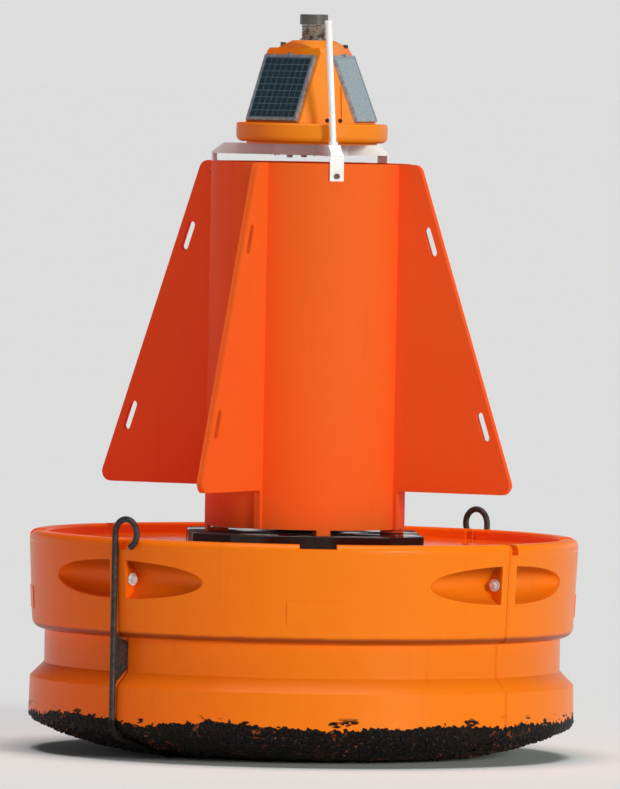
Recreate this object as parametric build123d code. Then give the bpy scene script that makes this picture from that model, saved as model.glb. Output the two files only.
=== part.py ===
from build123d import *
import math
import os

os.makedirs("parts", exist_ok=True)

# A water quality monitoring buoy: a ring float of four moulded quadrants, a steel core
# through its middle, a finned daymark tower on a black base, and a solar lantern on top.
# Millimetres, +Z up, origin at the middle of the flat bottom, the front faces -Y.
# Directions round the axis are degrees from the front towards +X.

# Shared clearances and repeats
seat_gap = 0.3                   # between a piece and the face that it rests on
cut_over_length = 5.0            # how far every cutting body runs past the face it cuts
bolt_hole_gap = 0.5              # between a bolt's shank and its hole
quarter_angle = 90.0             # from one quadrant or tower panel to the next
third_angle = 120.0              # from one lantern face or frame arm to the next

# Float, outer form of one quadrant; every depth is taken inward from the band's outside
band_radius = 900.0
rim_width = 55.0
rim_height = 34.0                # how far the rim stands above the deck
rim_fillet_radius = 22.0
rim_inner_fillet_radius = 10.0
deck_height = 685.0              # the flat deck inside the rim
band_low_depth = 13.0            # draft of the band, down to its lower corner
band_low_height = 402.0
band_low_fillet_radius = 34.0
waist_depth = 54.0               # the groove round the float
waist_top_height = 396.0
waist_low_height = 286.0
shoulder_top_depth = 8.0
shoulder_top_height = 240.0
shoulder_low_depth = 5.0
shoulder_low_height = 115.0
bilge_end_depth = 21.0           # where the rounded bilge turns up
bilge_end_height = 98.5
bottom_land_width = 66.0         # flat bottom from the bottom plate's recess to the bilge
seam_gap = 1.6                   # between two quadrants, at the band
seam_chamfer_width = 6.0         # edge break of the moulding beside each seam

# Float, rim notches, pad and finger recesses
notch_width = 121.0              # shallow notch in the middle of each quadrant's rim
notch_depth = 16.0
drain_width = 30.0               # drain slot through the rim at each quadrant's left end
drain_side_length = 8.0          # from the seam to the slot
pad_width = 197.0                # bare moulded pad in the middle of the band
pad_height = 74.0
pad_thickness = 2.5
pad_drop_height = 185.0          # from the deck down to the pad's middle
recess_wall_width = 34.0         # from the seam to the recess
recess_length = 290.0
recess_radius = 62.0
recess_drop_height = 97.0        # from the deck down to the recess's axis
recess_axis_depth = 6.0
recess_lean_angle = 10.5         # the recess follows the float's curve

# Seam bolts
seam_bolt_radius = 8.0
seam_bolt_depth = 36.0           # bolt axis inside the band's outside
seam_bolt_head_radius = 13.0
seam_bolt_head_height = 10.0
seam_washer_radius = 20.0
seam_washer_thickness = 4.0

# Steel core
core_radius = 136.5              # outside of the central tube
core_wall_thickness = 8.0
well_gap = 3.0                   # between the tube and the float
plate_radius = 380.0             # round bottom plate
plate_thickness = 16.0
plate_edge_gap = 4.0             # between the plate's edge and the float
plate_bolt_count = 8
plate_bolt_radius = 10.0
plate_bolt_edge_width = 50.0     # from the plate's edge to the bolts
plate_bolt_head_radius = 15.0
plate_bolt_head_height = 12.0
mooring_bar_radius = 20.0
mooring_bar_rise_height = 57.0   # bar's axis above the plate

# Lifting rods
rod_radius = 10.0
rod_floor_gap = 2.5              # between the leg and the ground
rod_leg_end_radius = 250.0       # how near the leg comes to the axis
rod_knee_radius = 640.0
rod_heel_height = 84.0
rod_bend_radius = 60.0
hook_radius = 47.0               # axis of the open hook
hook_rise_height = 17.0          # from the rim's top to the hook's centre
hook_angle = 245.0               # how far the hook goes round
channel_gap = 3.5                # round the leg in its channel
key_thickness = 10.0             # flat key that sits in the waist
key_low_gap = 9.0                # between the key and the shoulder, at the waist
key_top_gap = 12.0               # between the key and the band, at the waist
key_low_flare_height = 45.0      # how much longer the key is at the rod
key_top_flare_height = 28.0

# Black base under the tower
base_width = 754.0
base_corner_length = 118.0
base_height = 40.0
base_top_thickness = 12.0
base_skirt_thickness = 14.0
base_fillet_radius = 4.0
base_rib_thickness = 10.0

# Tower panels
tower_radius = 328.0
tower_wall_thickness = 10.0
tower_height = 1194.0            # from the lower edge to the top
first_fin_angle = -30.0
fin_thickness = 10.0             # one of the two flanges that make a fin
fin_gap = 1.0                    # between the two flanges
fin_low_width = 435.0            # how far the fin stands out at its lower edge
fin_top_width = 72.0
fin_low_height = 126.0           # above the tower's lower edge
fin_corner_fillet_radius = 32.0
fin_inner_fillet_radius = 14.0
seam_rib_thickness = 13.0        # how far the flange stands out below the fin
slot_length = 100.0
slot_width = 26.0
slot_edge_width = 37.0           # from the fin's outer edge to the slot's axis
slot_low_height = 346.0          # above the tower's lower edge
slot_top_drop_height = 250.0     # below the tower's top
foot_height = 18.0               # the lower edge stands this far above the base
foot_width = 46.0
foot_angle = 38.0                # from a panel's first fin to its foot
toe_length = 60.0
toe_thickness = 10.0
toe_bolt_radius = 8.0
toe_bolt_head_radius = 12.0
toe_bolt_head_height = 10.0
toe_washer_radius = 17.0
toe_washer_thickness = 3.0

# Lantern frame on the tower
frame_gap_height = 24.0          # between the tower's top and the arms
arm_angle = 11.5
arm_height = 36.0
arm_width = 40.0
arm_slope_length = 40.0
arm_tip_height = 6.0             # height that is left at the end of the slope
hub_radius = 120.0
hub_bore_radius = 40.0
tab_width = 46.0
tab_thickness = 6.0
tab_drop_length = 57.0           # below the tower's top
tab_bolt_edge_width = 16.0       # from the tab's lower end to the bolt
tab_bolt_radius = 5.0
tab_bolt_head_radius = 9.5
tab_bolt_head_height = 7.0
tab_nut_radius = 9.5
tab_nut_height = 8.0

# Lantern base ring and its bolts
ring_radius = 248.0
ring_height = 68.0
ring_foot_radius = 214.0
ring_foot_height = 6.0
ring_low_fillet_radius = 20.0
ring_top_fillet_radius = 8.0
lantern_bolt_radius = 6.0
lantern_bolt_circle_radius = 100.0
lantern_bolt_head_radius = 10.0
lantern_bolt_head_height = 8.0

# Lantern housing
web_angle = 10.7
face_low_width = 180.0           # from the axis to the faces that carry the panels
face_top_width = 92.0
web_low_width = 201.0            # from the axis to the webs between them
web_top_width = 159.0
housing_height = 230.0
crown_height = 16.0
crown_face_inset_width = 7.0     # the crown narrows by this at the faces
crown_web_inset_width = 15.0
neck_low_radius = 118.0
neck_top_radius = 69.0
neck_height = 25.0
groove_width = 56.0              # channel down each web
groove_depth = 5.0
groove_side_length = 24.0
groove_low_height = 20.0         # closed end above the ring
web_screw_radius = 5.0
web_screw_height = 4.0
web_screw_side_length = 22.0     # from the channel's middle to each screw
web_screw_low_height = 11.0      # above the ring

# Solar panels
panel_width = 236.0
panel_length = 230.0
panel_thickness = 12.0
panel_border_width = 9.0
panel_low_gap = 5.0              # between the panel and the ring
glass_thickness = 5.0
glass_sink_depth = 1.5
clip_width = 16.0
clip_thickness = 5.0
clip_overlap_length = 7.0

# Lens, cap and small fittings
lens_radius = 41.0
lens_height = 52.0
lens_wall_thickness = 4.0
lens_foot_radius = 46.0
lens_foot_height = 6.0
lens_rib_count = 5
lens_rib_depth = 2.0
emitter_radius = 11.0
emitter_height = 38.0
emitter_foot_radius = 24.0
emitter_foot_height = 5.0
cap_radius = 46.0
cap_height = 33.0
cap_fillet_radius = 4.0
latch_angle = 44.0
latch_width = 10.0
latch_thickness = 3.0
latch_height = 34.0
latch_foot_length = 14.0
knob_angle = 125.5
knob_distance_radius = 133.0
knob_radius = 9.0
knob_height = 12.0
fitting_angle = -109.3
fitting_distance_radius = 104.0
fitting_radius = 9.0
fitting_height = 18.0

# Pole beside the lantern
pole_distance_radius = 280.0     # where the pole stands on the front arm
pole_radius = 10.5
pole_height = 396.0
pole_lean_angle = 3.4            # towards the left
pole_foot_radius = 15.0
pole_foot_height = 10.0
pole_cap_radius = 12.5
pole_cap_height = 10.0

# Radii and heights that follow from the sizes above
waist_radius = band_radius - waist_depth
rim_inner_radius = band_radius - rim_width
rim_middle_radius = band_radius - rim_width / 2
rim_top = deck_height + rim_height
rod_leg_height = rod_floor_gap + rod_radius
rod_axis_radius = band_radius + rod_radius + seat_gap
hook_height = rim_top + hook_rise_height
plate_low = rod_leg_height + rod_radius + seat_gap
plate_top = plate_low + plate_thickness
plate_recess_top = plate_top + seat_gap
plate_recess_radius = plate_radius + plate_edge_gap
bottom_edge_radius = plate_recess_radius + bottom_land_width
plate_bolt_circle_radius = plate_radius - plate_bolt_edge_width
well_radius = core_radius + well_gap
bore_radius = core_radius - core_wall_thickness
mooring_bar_height = plate_top + mooring_bar_rise_height
recess_height = deck_height - recess_drop_height
base_low = deck_height + seat_gap
base_top = base_low + base_height
tower_inner_radius = tower_radius - tower_wall_thickness
tower_low = base_top + foot_height
tower_top = tower_low + tower_height
fin_low = tower_low + fin_low_height
fin_low_radius = tower_radius + fin_low_width
fin_top_radius = tower_radius + fin_top_width
arm_low = tower_top + frame_gap_height
arm_top = arm_low + arm_height
arm_tip_radius = tower_radius + seat_gap + tab_thickness
tab_bolt_height = tower_top - tab_drop_length + tab_bolt_edge_width
ring_low = arm_top + seat_gap
ring_top = ring_low + ring_height
housing_low = ring_top + seat_gap
housing_top = housing_low + housing_height
crown_top = housing_top + crown_height
neck_top = crown_top + neck_height
lens_low = neck_top + seat_gap
lens_top = lens_low + lens_height


def turned(shape, angle):
    """The shape turned about the buoy's axis, from the front towards +X."""
    return Rot(0, 0, angle) * shape


def written(shape, name):
    """Write one piece to its own file."""
    export_step(shape, f"parts/{name}.step")


def corner_filleted(face, corner, radius):
    """Round the corner of a flat outline that lies nearest to a point."""
    nearest = sorted(face.vertices(), key=lambda v: math.hypot(v.X - corner[0], v.Y - corner[1]))
    return fillet(nearest[0], radius)


def radial_plate(face, thickness, side=0.0):
    """Stand an outline of (radius, height) in the front radial plane, moved to one side."""
    stand = Plane(origin=(side, 0, 0), x_dir=(0, -1, 0), z_dir=(-1, 0, 0))
    return stand * extrude(face, thickness / 2, both=True)


def upright(radius, low, height, distance=0.0):
    """A round bar that stands at the front at a distance from the axis."""
    return Pos(0, -distance, low) * extrude(Circle(radius), height)


def bar_along_x(radius, length, height, distance):
    """A round bar along X, its middle at the front at a distance from the axis."""
    place = Plane(origin=(0, -distance, height), x_dir=(0, 1, 0), z_dir=(1, 0, 0))
    return place * Cylinder(radius, length)


def hexagon(radius, height):
    """A hexagonal bolt head or nut that stands on the XY plane."""
    return extrude(RegularPolygon(radius, 6), height)


def band_surface(height):
    """Radius of the drafted band at a height."""
    share = (deck_height - height) / (deck_height - band_low_height)
    return band_radius - band_low_depth * share


# Float quadrant, drawn as a section of (radius, height) and revolved over a quarter
def float_section():
    """Closed section of the moulding, from the well to the band."""
    bilge_end = (band_radius - bilge_end_depth, bilge_end_height)
    bottom_edge = (bottom_edge_radius, 0)
    band_low = (band_radius - band_low_depth, band_low_height)
    outline = Polyline(
        bilge_end,
        (band_radius - shoulder_low_depth, shoulder_low_height),
        (band_radius - shoulder_top_depth, shoulder_top_height),
        (waist_radius, waist_low_height),
        (waist_radius, waist_top_height),
        band_low,
        (band_radius, deck_height),
        (band_radius, rim_top),
        (rim_inner_radius, rim_top),
        (rim_inner_radius, deck_height),
        (well_radius, deck_height),
        (well_radius, plate_recess_top),
        (plate_recess_radius, plate_recess_top),
        (plate_recess_radius, 0),
        bottom_edge,
    )
    bilge = TangentArc(bottom_edge, bilge_end, tangent=(1, 0))
    face = make_face(outline + bilge)
    face = corner_filleted(face, band_low, band_low_fillet_radius)
    face = corner_filleted(face, (band_radius, rim_top), rim_fillet_radius)
    return corner_filleted(face, (rim_inner_radius, rim_top), rim_inner_fillet_radius)


def seam_edges(body):
    """Outer edges of a quadrant's two end faces, from the bottom plate's recess to the rim."""
    ends = [face for face in body.faces().filter_by(GeomType.PLANE) if abs(face.normal_at().Z) < 1 / 2]
    chosen = []
    for edge in [edge for face in ends for edge in face.edges()]:
        near, far = sorted(math.hypot(point.X, point.Y) for point in (edge @ 0, edge @ 1))
        if near > plate_recess_radius - seat_gap and far > plate_recess_radius + seat_gap:
            chosen.append(edge)
    return chosen


def finger_recess():
    """Pointed recess that starts at a wall beside the seam and runs out along the band."""
    dome = EllipticalCenterArc((0, 0), recess_length, recess_radius, start_angle=0,
                               arc_size=quarter_angle)
    sides = Polyline((0, recess_radius), (0, 0), (recess_length, 0))
    half = revolve(make_face(dome + sides), Axis.X)
    distance = math.sqrt((band_radius - recess_axis_depth) ** 2 - recess_wall_width ** 2)
    return Pos(recess_wall_width, -distance, recess_height) * Rot(0, 0, recess_lean_angle) * half


def moulded_pad():
    """Flat raised pad that follows the band, centred on the front."""
    middle = deck_height - pad_drop_height
    high = middle + pad_height / 2
    low = middle - pad_height / 2
    section = make_face(Polyline(
        (band_surface(high) - cut_over_length, high),
        (band_surface(high) + pad_thickness, high),
        (band_surface(low) + pad_thickness, low),
        (band_surface(low) - cut_over_length, low),
        close=True,
    ))
    arc = math.degrees(pad_width / band_radius)
    return turned(revolve(Plane.XZ * section, Axis.Z, revolution_arc=arc), -quarter_angle - arc / 2)


def leg_channel():
    """Channel under the seam that the lifting rod's leg lies in."""
    roof = rod_leg_height + rod_radius + channel_gap
    inner = plate_radius - cut_over_length
    outline = Polyline(
        (inner, -cut_over_length),
        (inner, roof),
        (rod_knee_radius, roof),
        (rod_axis_radius, rod_heel_height + rod_radius + channel_gap),
        (rod_axis_radius + cut_over_length, -cut_over_length),
        close=True,
    )
    return radial_plate(make_face(outline), 2 * (rod_radius + channel_gap))


def float_quadrant():
    """One quadrant, with its left seam at the front and its right seam at +X."""
    edge_angle = math.degrees(seam_gap / 2 / band_radius)
    arc = quarter_angle - 2 * edge_angle
    body = turned(revolve(Plane.XZ * float_section(), Axis.Z, revolution_arc=arc), -quarter_angle)
    body = chamfer(seam_edges(body), seam_chamfer_width)
    body = turned(body, edge_angle)
    middle = turned(moulded_pad(), quarter_angle / 2)
    body = body + middle
    channel = leg_channel()
    body = body - channel - turned(channel, quarter_angle)
    drain = Box(drain_width, rim_width + 2 * cut_over_length, rim_height + cut_over_length)
    drain = Pos(drain_side_length + drain_width / 2, -rim_middle_radius,
                deck_height + (rim_height + cut_over_length) / 2) * drain
    notch = Box(notch_width, rim_width + 2 * cut_over_length, notch_depth + cut_over_length)
    notch = Pos(0, -rim_middle_radius, rim_top - notch_depth + (notch_depth + cut_over_length) / 2) * notch
    body = body - drain - turned(notch, quarter_angle / 2)
    recess = finger_recess()
    body = body - recess - turned(mirror(recess, Plane.YZ), quarter_angle)
    hole = bar_along_x(seam_bolt_radius + bolt_hole_gap, 2 * (recess_wall_width + cut_over_length),
                       recess_height, band_radius - seam_bolt_depth)
    return body - hole - turned(hole, quarter_angle)


quadrant = turned(float_quadrant(), -quarter_angle / 2)
for number, name in enumerate(["float_front", "float_right", "float_back", "float_left"]):
    written(turned(quadrant, number * quarter_angle), name)


def seam_bolt():
    """Bolt through both recess walls at a seam, with a washer and a head at each side."""
    distance = band_radius - seam_bolt_depth
    grip = 2 * (recess_wall_width + seat_gap)
    shank = bar_along_x(seam_bolt_radius, grip, recess_height, distance)
    washer = bar_along_x(seam_washer_radius, seam_washer_thickness, recess_height, distance)
    washer = Pos(grip / 2 + seam_washer_thickness / 2, 0, 0) * washer
    seat = Plane(origin=(grip / 2 + seam_washer_thickness, -distance, recess_height),
                 x_dir=(0, 1, 0), z_dir=(1, 0, 0))
    end = washer + seat * hexagon(seam_bolt_head_radius, seam_bolt_head_height)
    return shank + end + mirror(end, Plane.YZ)


bolt = seam_bolt()
seams = ["front_left", "front_right", "back_right", "back_left"]
for number, name in enumerate(seams):
    written(turned(bolt, (number - 1 / 2) * quarter_angle), f"seam_bolt_{name}")


# Steel core: bottom plate, central tube and the bar that takes the mooring shackle
def plate_ring(shape):
    """Copies of a shape round the plate's bolt circle."""
    step = 4 * quarter_angle / plate_bolt_count
    return [turned(shape, (number + 1 / 2) * step) for number in range(plate_bolt_count)]


def bottom_plate():
    """Round plate in the float's underside, with a bore as wide as the tube's."""
    plate = upright(plate_radius, plate_low, plate_thickness)
    through = plate_thickness + 2 * cut_over_length
    plate = plate - upright(bore_radius, plate_low - cut_over_length, through)
    hole = upright(plate_bolt_radius + bolt_hole_gap, plate_low - cut_over_length, through,
                   plate_bolt_circle_radius)
    for one in plate_ring(hole):
        plate = plate - one
    return plate


def plate_bolts():
    """Bolts through the plate into the float, heads below."""
    low = plate_low - seat_gap
    head = Pos(0, -plate_bolt_circle_radius, low - plate_bolt_head_height) * hexagon(
        plate_bolt_head_radius, plate_bolt_head_height)
    shank = upright(plate_bolt_radius, low, plate_thickness + seat_gap, plate_bolt_circle_radius)
    return Compound(plate_ring(head + shank))


def core_tube():
    """Tube from the bottom plate to the underside of the black base."""
    low = plate_top + seat_gap
    length = base_top - base_top_thickness - seat_gap - low
    body = upright(core_radius, low, length)
    body = body - upright(bore_radius, low - cut_over_length, length + 2 * cut_over_length)
    hole = bar_along_x(mooring_bar_radius + seat_gap, 2 * (core_radius + cut_over_length),
                       mooring_bar_height, 0)
    return body - hole


written(bottom_plate(), "bottom_plate")
written(plate_bolts(), "plate_bolts")
written(core_tube(), "core_tube")
written(bar_along_x(mooring_bar_radius, 2 * core_radius, mooring_bar_height, 0), "mooring_bar")


# Lifting rods, drawn at the front: +X is along the float, -Y is outward
def waist_key():
    """Flat key between the rod and the waist, a little longer at the rod."""
    inner = waist_radius + seat_gap
    outline = Polyline(
        (rod_axis_radius, waist_low_height + key_low_gap - key_low_flare_height),
        (inner, waist_low_height + key_low_gap),
        (inner, waist_top_height - key_top_gap),
        (rod_axis_radius, waist_top_height - key_top_gap + key_top_flare_height),
        close=True,
    )
    return radial_plate(make_face(outline), key_thickness)


def lifting_rod():
    """Leg under the float, upright beside the band, open hook above the rim."""
    run = FilletPolyline(
        (-rod_axis_radius, hook_height),
        (-rod_axis_radius, rod_heel_height),
        (-rod_knee_radius, rod_leg_height),
        (-rod_leg_end_radius, rod_leg_height),
        radius=rod_bend_radius,
    )
    start = Plane(origin=(0, -rod_axis_radius, hook_height), z_dir=(0, 0, -1))
    bar = sweep(start * Circle(rod_radius), path=Plane.YZ * run)
    bow_plane = Plane(origin=(0, -rod_axis_radius, 0), x_dir=(1, 0, 0), z_dir=(0, -1, 0))
    bow = bow_plane * CenterArc((hook_radius, hook_height), hook_radius, 180, -hook_angle)
    hook_start = Plane(origin=(0, -rod_axis_radius, hook_height), z_dir=(0, 0, 1))
    hook = sweep(hook_start * Circle(rod_radius), path=bow)
    return bar + hook + waist_key()


rod = lifting_rod()
written(turned(rod, -quarter_angle / 2), "lifting_rod_left")
written(turned(rod, quarter_angle * 3 / 2), "lifting_rod_right")


# Black base: a shallow square tray turned upside down, with cut corners
def cut_square(width, corner_length):
    """Square outline with cut corners."""
    square = Rectangle(width, width)
    return chamfer(square.vertices(), corner_length)


def tower_base():
    """Top plate with a skirt that stands on the deck, and ribs to the middle."""
    outline = cut_square(base_width, base_corner_length)
    body = Pos(0, 0, base_low) * extrude(outline, base_height)
    body = fillet(body.faces().sort_by(Axis.Z)[-1].edges(), base_fillet_radius)
    room_height = base_height - base_top_thickness
    room = Pos(0, 0, base_low) * extrude(offset(outline, -base_skirt_thickness, kind=Kind.INTERSECTION),
                                         room_height)
    body = body - room
    rib_length = base_width / 2 - base_skirt_thickness / 2 - core_radius
    rib = Pos(0, -core_radius - rib_length / 2, base_low + room_height / 2) * Box(
        base_rib_thickness, rib_length, room_height)
    for number in range(4):
        body = body + turned(rib, number * quarter_angle)
    body = body - upright(well_radius, base_low - cut_over_length, room_height + cut_over_length)
    body = body - upright(bore_radius, base_low, base_height + cut_over_length)
    hole = upright(toe_bolt_radius + bolt_hole_gap, base_low, base_height + cut_over_length,
                   tower_inner_radius - toe_length / 2)
    for number in range(4):
        body = body - turned(hole, first_fin_angle + foot_angle + number * quarter_angle)
    return body


written(tower_base(), "tower_base")


# Tower panel, drawn with its first fin in the front radial plane
def flange_outline():
    """Outline of one flange as radius and height, with its two slots."""
    rib_radius = tower_radius + seam_rib_thickness
    face = make_face(Polyline(
        (tower_inner_radius, tower_low),
        (rib_radius, tower_low),
        (rib_radius, fin_low),
        (fin_low_radius, fin_low),
        (fin_top_radius, tower_top),
        (tower_inner_radius, tower_top),
        close=True,
    ))
    face = corner_filleted(face, (rib_radius, fin_low), fin_inner_fillet_radius)
    face = corner_filleted(face, (fin_low_radius, fin_low), fin_corner_fillet_radius)
    face = corner_filleted(face, (fin_top_radius, tower_top), fin_corner_fillet_radius)
    rise = tower_top - fin_low
    run = fin_low_radius - fin_top_radius
    lean = math.degrees(math.atan2(rise, -run))
    for height in (tower_low + slot_low_height, tower_top - slot_top_drop_height):
        edge = fin_low_radius - run * (height - fin_low) / rise
        radius = edge - slot_edge_width * math.hypot(rise, run) / rise
        face = face - Pos(radius, height) * Rot(0, 0, lean) * SlotOverall(slot_length, slot_width)
    return face


def panel_wall(low, height, start_angle, end_angle):
    """Curved wall of the tower between two directions."""
    section = Pos(tower_radius - tower_wall_thickness / 2, low + height / 2) * Rectangle(
        tower_wall_thickness, height)
    wall = revolve(Plane.XZ * section, Axis.Z, revolution_arc=end_angle - start_angle)
    return turned(wall, start_angle - quarter_angle)


def tower_panel():
    """Quarter shell with a flange at each side, a foot and a toe that is bolted down."""
    flange = radial_plate(flange_outline(), fin_thickness, fin_gap / 2 + fin_thickness / 2)
    trim = math.degrees(fin_gap / 2 / tower_radius)
    body = panel_wall(tower_low, tower_height, trim, quarter_angle - trim)
    body = body + flange + turned(mirror(flange, Plane.YZ), quarter_angle)
    foot_low = base_top + seat_gap
    half_foot = math.degrees(foot_width / 2 / tower_radius)
    foot = panel_wall(foot_low, foot_height, foot_angle - half_foot, foot_angle + half_foot)
    toe_depth = toe_length + tower_wall_thickness / 2
    toe = Pos(0, -tower_inner_radius + toe_depth / 2 - tower_wall_thickness / 2,
              foot_low + toe_thickness / 2) * Box(foot_width, toe_depth, toe_thickness)
    hole = upright(toe_bolt_radius + bolt_hole_gap, base_top, toe_thickness + cut_over_length,
                   tower_inner_radius - toe_length / 2)
    return body + foot + turned(toe - hole, foot_angle)


def tab_bolt_places(shape):
    """Copies of a shape at the directions of the lantern frame's three arms."""
    return [turned(shape, arm_angle + number * third_angle) for number in range(3)]


panel = tower_panel()
tab_hole_place = Plane(origin=(0, -tower_radius, tab_bolt_height), z_dir=(0, 1, 0))
tab_hole = tab_hole_place * Cylinder(tab_bolt_radius + bolt_hole_gap,
                                     2 * (tower_wall_thickness + cut_over_length))
for number in range(4):
    one = turned(panel, first_fin_angle + number * quarter_angle)
    for hole in tab_bolt_places(tab_hole):
        one = one - hole
    written(one, f"tower_panel_{number + 1}")


def toe_bolts():
    """Bolts that hold the panels' toes on the base."""
    distance = tower_inner_radius - toe_length / 2
    low = base_top - base_top_thickness
    top = base_top + seat_gap + toe_thickness + seat_gap
    one = upright(toe_bolt_radius, low, top - low, distance)
    one = one + upright(toe_washer_radius, top, toe_washer_thickness, distance)
    one = one + Pos(0, -distance, top + toe_washer_thickness) * hexagon(
        toe_bolt_head_radius, toe_bolt_head_height)
    start = first_fin_angle + foot_angle
    return Compound([turned(one, start + number * quarter_angle) for number in range(4)])


written(toe_bolts(), "tower_foot_bolts")


# Lantern frame: three arms from a hub, with tabs that hang over the tower's wall
def frame_arm():
    """One arm with its sloped end and its tab, at the front."""
    side = make_face(Polyline(
        (0, arm_low),
        (arm_tip_radius, arm_low),
        (arm_tip_radius, arm_low + arm_tip_height),
        (arm_tip_radius - arm_slope_length, arm_top),
        (0, arm_top),
        close=True,
    ))
    arm = radial_plate(side, arm_width)
    tab_top = arm_low + arm_tip_height
    tab_length = tab_top - tower_top + tab_drop_length
    tab = Pos(0, -arm_tip_radius + tab_thickness / 2, tab_top - tab_length / 2) * Box(
        tab_width, tab_thickness, tab_length)
    through = Plane(origin=(0, -arm_tip_radius, tab_bolt_height), z_dir=(0, 1, 0))
    hole = through * Cylinder(tab_bolt_radius + bolt_hole_gap, 2 * (tab_thickness + cut_over_length))
    return arm + tab - hole


def lantern_frame():
    """Arms, hub and tabs in one welded piece."""
    arm = frame_arm()
    body = upright(hub_radius, arm_low, arm_height)
    for number in range(3):
        body = body + turned(arm, number * third_angle)
    through = arm_height + 2 * cut_over_length
    body = body - upright(hub_bore_radius, arm_low - cut_over_length, through)
    hole = upright(lantern_bolt_radius + bolt_hole_gap, arm_low - cut_over_length, through,
                   lantern_bolt_circle_radius)
    for number in range(3):
        body = body - turned(hole, third_angle / 2 + number * third_angle)
    return turned(body, arm_angle)


def tab_bolts():
    """Bolts through the tabs and the tower's wall, nuts inside the tower."""
    outer = arm_tip_radius + seat_gap
    inner = tower_inner_radius - seat_gap
    face_out = Plane(origin=(0, -outer, tab_bolt_height), x_dir=(1, 0, 0), z_dir=(0, -1, 0))
    face_in = Plane(origin=(0, -inner, tab_bolt_height), x_dir=(1, 0, 0), z_dir=(0, 1, 0))
    shank = face_in * Pos(0, 0, (inner - outer) / 2) * Cylinder(tab_bolt_radius, outer - inner)
    one = shank + face_out * hexagon(tab_bolt_head_radius, tab_bolt_head_height)
    one = one + face_in * hexagon(tab_nut_radius, tab_nut_height)
    return Compound(tab_bolt_places(one))


def lantern_bolts():
    """Bolts up through the hub, heads below it."""
    low = arm_low - seat_gap
    one = upright(lantern_bolt_radius, low, arm_height + seat_gap, lantern_bolt_circle_radius)
    one = one + Pos(0, -lantern_bolt_circle_radius, low - lantern_bolt_head_height) * hexagon(
        lantern_bolt_head_radius, lantern_bolt_head_height)
    start = arm_angle + third_angle / 2
    return Compound([turned(one, start + number * third_angle) for number in range(3)])


written(lantern_frame(), "lantern_frame")
written(tab_bolts(), "frame_tab_bolts")
written(lantern_bolts(), "lantern_bolts")


# Lantern base ring
def lantern_ring():
    """Round base with a rounded lower edge and a smaller foot."""
    foot = upright(ring_foot_radius, ring_low, ring_foot_height)
    rest = upright(ring_radius, ring_low + ring_foot_height, ring_height - ring_foot_height)
    rest = fillet(rest.edges().sort_by(Axis.Z)[0], ring_low_fillet_radius)
    rest = fillet(rest.edges().sort_by(Axis.Z)[-1], ring_top_fillet_radius)
    return foot + rest


written(lantern_ring(), "lantern_ring")


# Lantern housing: three sloped faces for the panels, with a web between each two
def six_sided(face_width, web_width, height):
    """Outline with three panel faces and three webs, the first web at the front."""
    between = math.radians(third_angle / 2)
    half = (web_width - face_width * math.cos(between)) / math.sin(between)
    corners = []
    for number in range(3):
        middle = between + math.radians(number * third_angle)
        for sign in (-1, 1):
            corners.append((face_width * math.sin(middle) + sign * half * math.cos(middle),
                            -face_width * math.cos(middle) + sign * half * math.sin(middle)))
    return Pos(0, 0, height) * make_face(Polyline(*corners, close=True))


def web_plane():
    """Plane of the front web: X across, Y up the slope, Z outward."""
    lean = math.atan2(web_low_width - web_top_width, housing_height)
    return Plane(origin=(0, -web_low_width, housing_low), x_dir=(1, 0, 0),
                 z_dir=(0, -math.cos(lean), math.sin(lean)))


def lantern_housing():
    """Faceted body with a channel down each web, a crown and a round neck."""
    low = six_sided(face_low_width, web_low_width, housing_low)
    top = six_sided(face_top_width, web_top_width, housing_top)
    crown = six_sided(face_top_width - crown_face_inset_width, web_top_width - crown_web_inset_width,
                      crown_top)
    body = loft([low, top]) + loft([top, crown])
    neck = Pos(0, 0, crown_top + neck_height / 2) * Cone(neck_low_radius, neck_top_radius, neck_height)
    body = body + (neck & extrude(crown, neck_height))
    run = 2 * housing_height
    channel = web_plane() * Pos(groove_side_length, groove_low_height + run / 2, 0) * Box(
        groove_width, run, 2 * groove_depth)
    for number in range(3):
        body = body - turned(channel, number * third_angle)
    spot_face = upright(fitting_radius + seat_gap, crown_top, neck_height, fitting_distance_radius)
    return turned(body, web_angle) - turned(spot_face, fitting_angle)


def web_screws():
    """Two screws at the foot of each web."""
    places = [groove_side_length - web_screw_side_length, groove_side_length + web_screw_side_length]
    screws = []
    for number in range(3):
        for place in places:
            one = web_plane() * Pos(place, web_screw_low_height, seat_gap) * extrude(
                Circle(web_screw_radius), web_screw_height)
            screws.append(turned(one, web_angle + number * third_angle))
    return Compound(screws)


written(lantern_housing(), "lantern_housing")
written(web_screws(), "web_screws")


# Solar panels, drawn flat: X across, Y up the slope, Z outward
def panel_plane(number):
    """Plane behind one panel, with its origin at the middle of the lower edge."""
    lean = math.atan2(face_low_width - face_top_width, housing_height)
    angle = math.radians(web_angle + third_angle / 2 + number * third_angle)
    out = Vector(math.sin(angle), -math.cos(angle), 0)
    side = Vector(math.cos(angle), math.sin(angle), 0)
    up = Vector(0, 0, 1)
    normal = out * math.cos(lean) + up * math.sin(lean)
    slope = up * math.cos(lean) - out * math.sin(lean)
    corner = out * face_low_width + up * housing_low
    return Plane(origin=corner + slope * panel_low_gap + normal * seat_gap, x_dir=side, z_dir=normal)


def solar_frame():
    """Thin frame with a floor behind the glass."""
    middle = Pos(0, panel_length / 2)
    outer = middle * Rectangle(panel_width, panel_length)
    inner = middle * Rectangle(panel_width - 2 * panel_border_width,
                               panel_length - 2 * panel_border_width)
    room = glass_thickness + glass_sink_depth
    return extrude(outer, panel_thickness) - Pos(0, 0, panel_thickness - room) * extrude(
        inner, room + cut_over_length)


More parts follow.
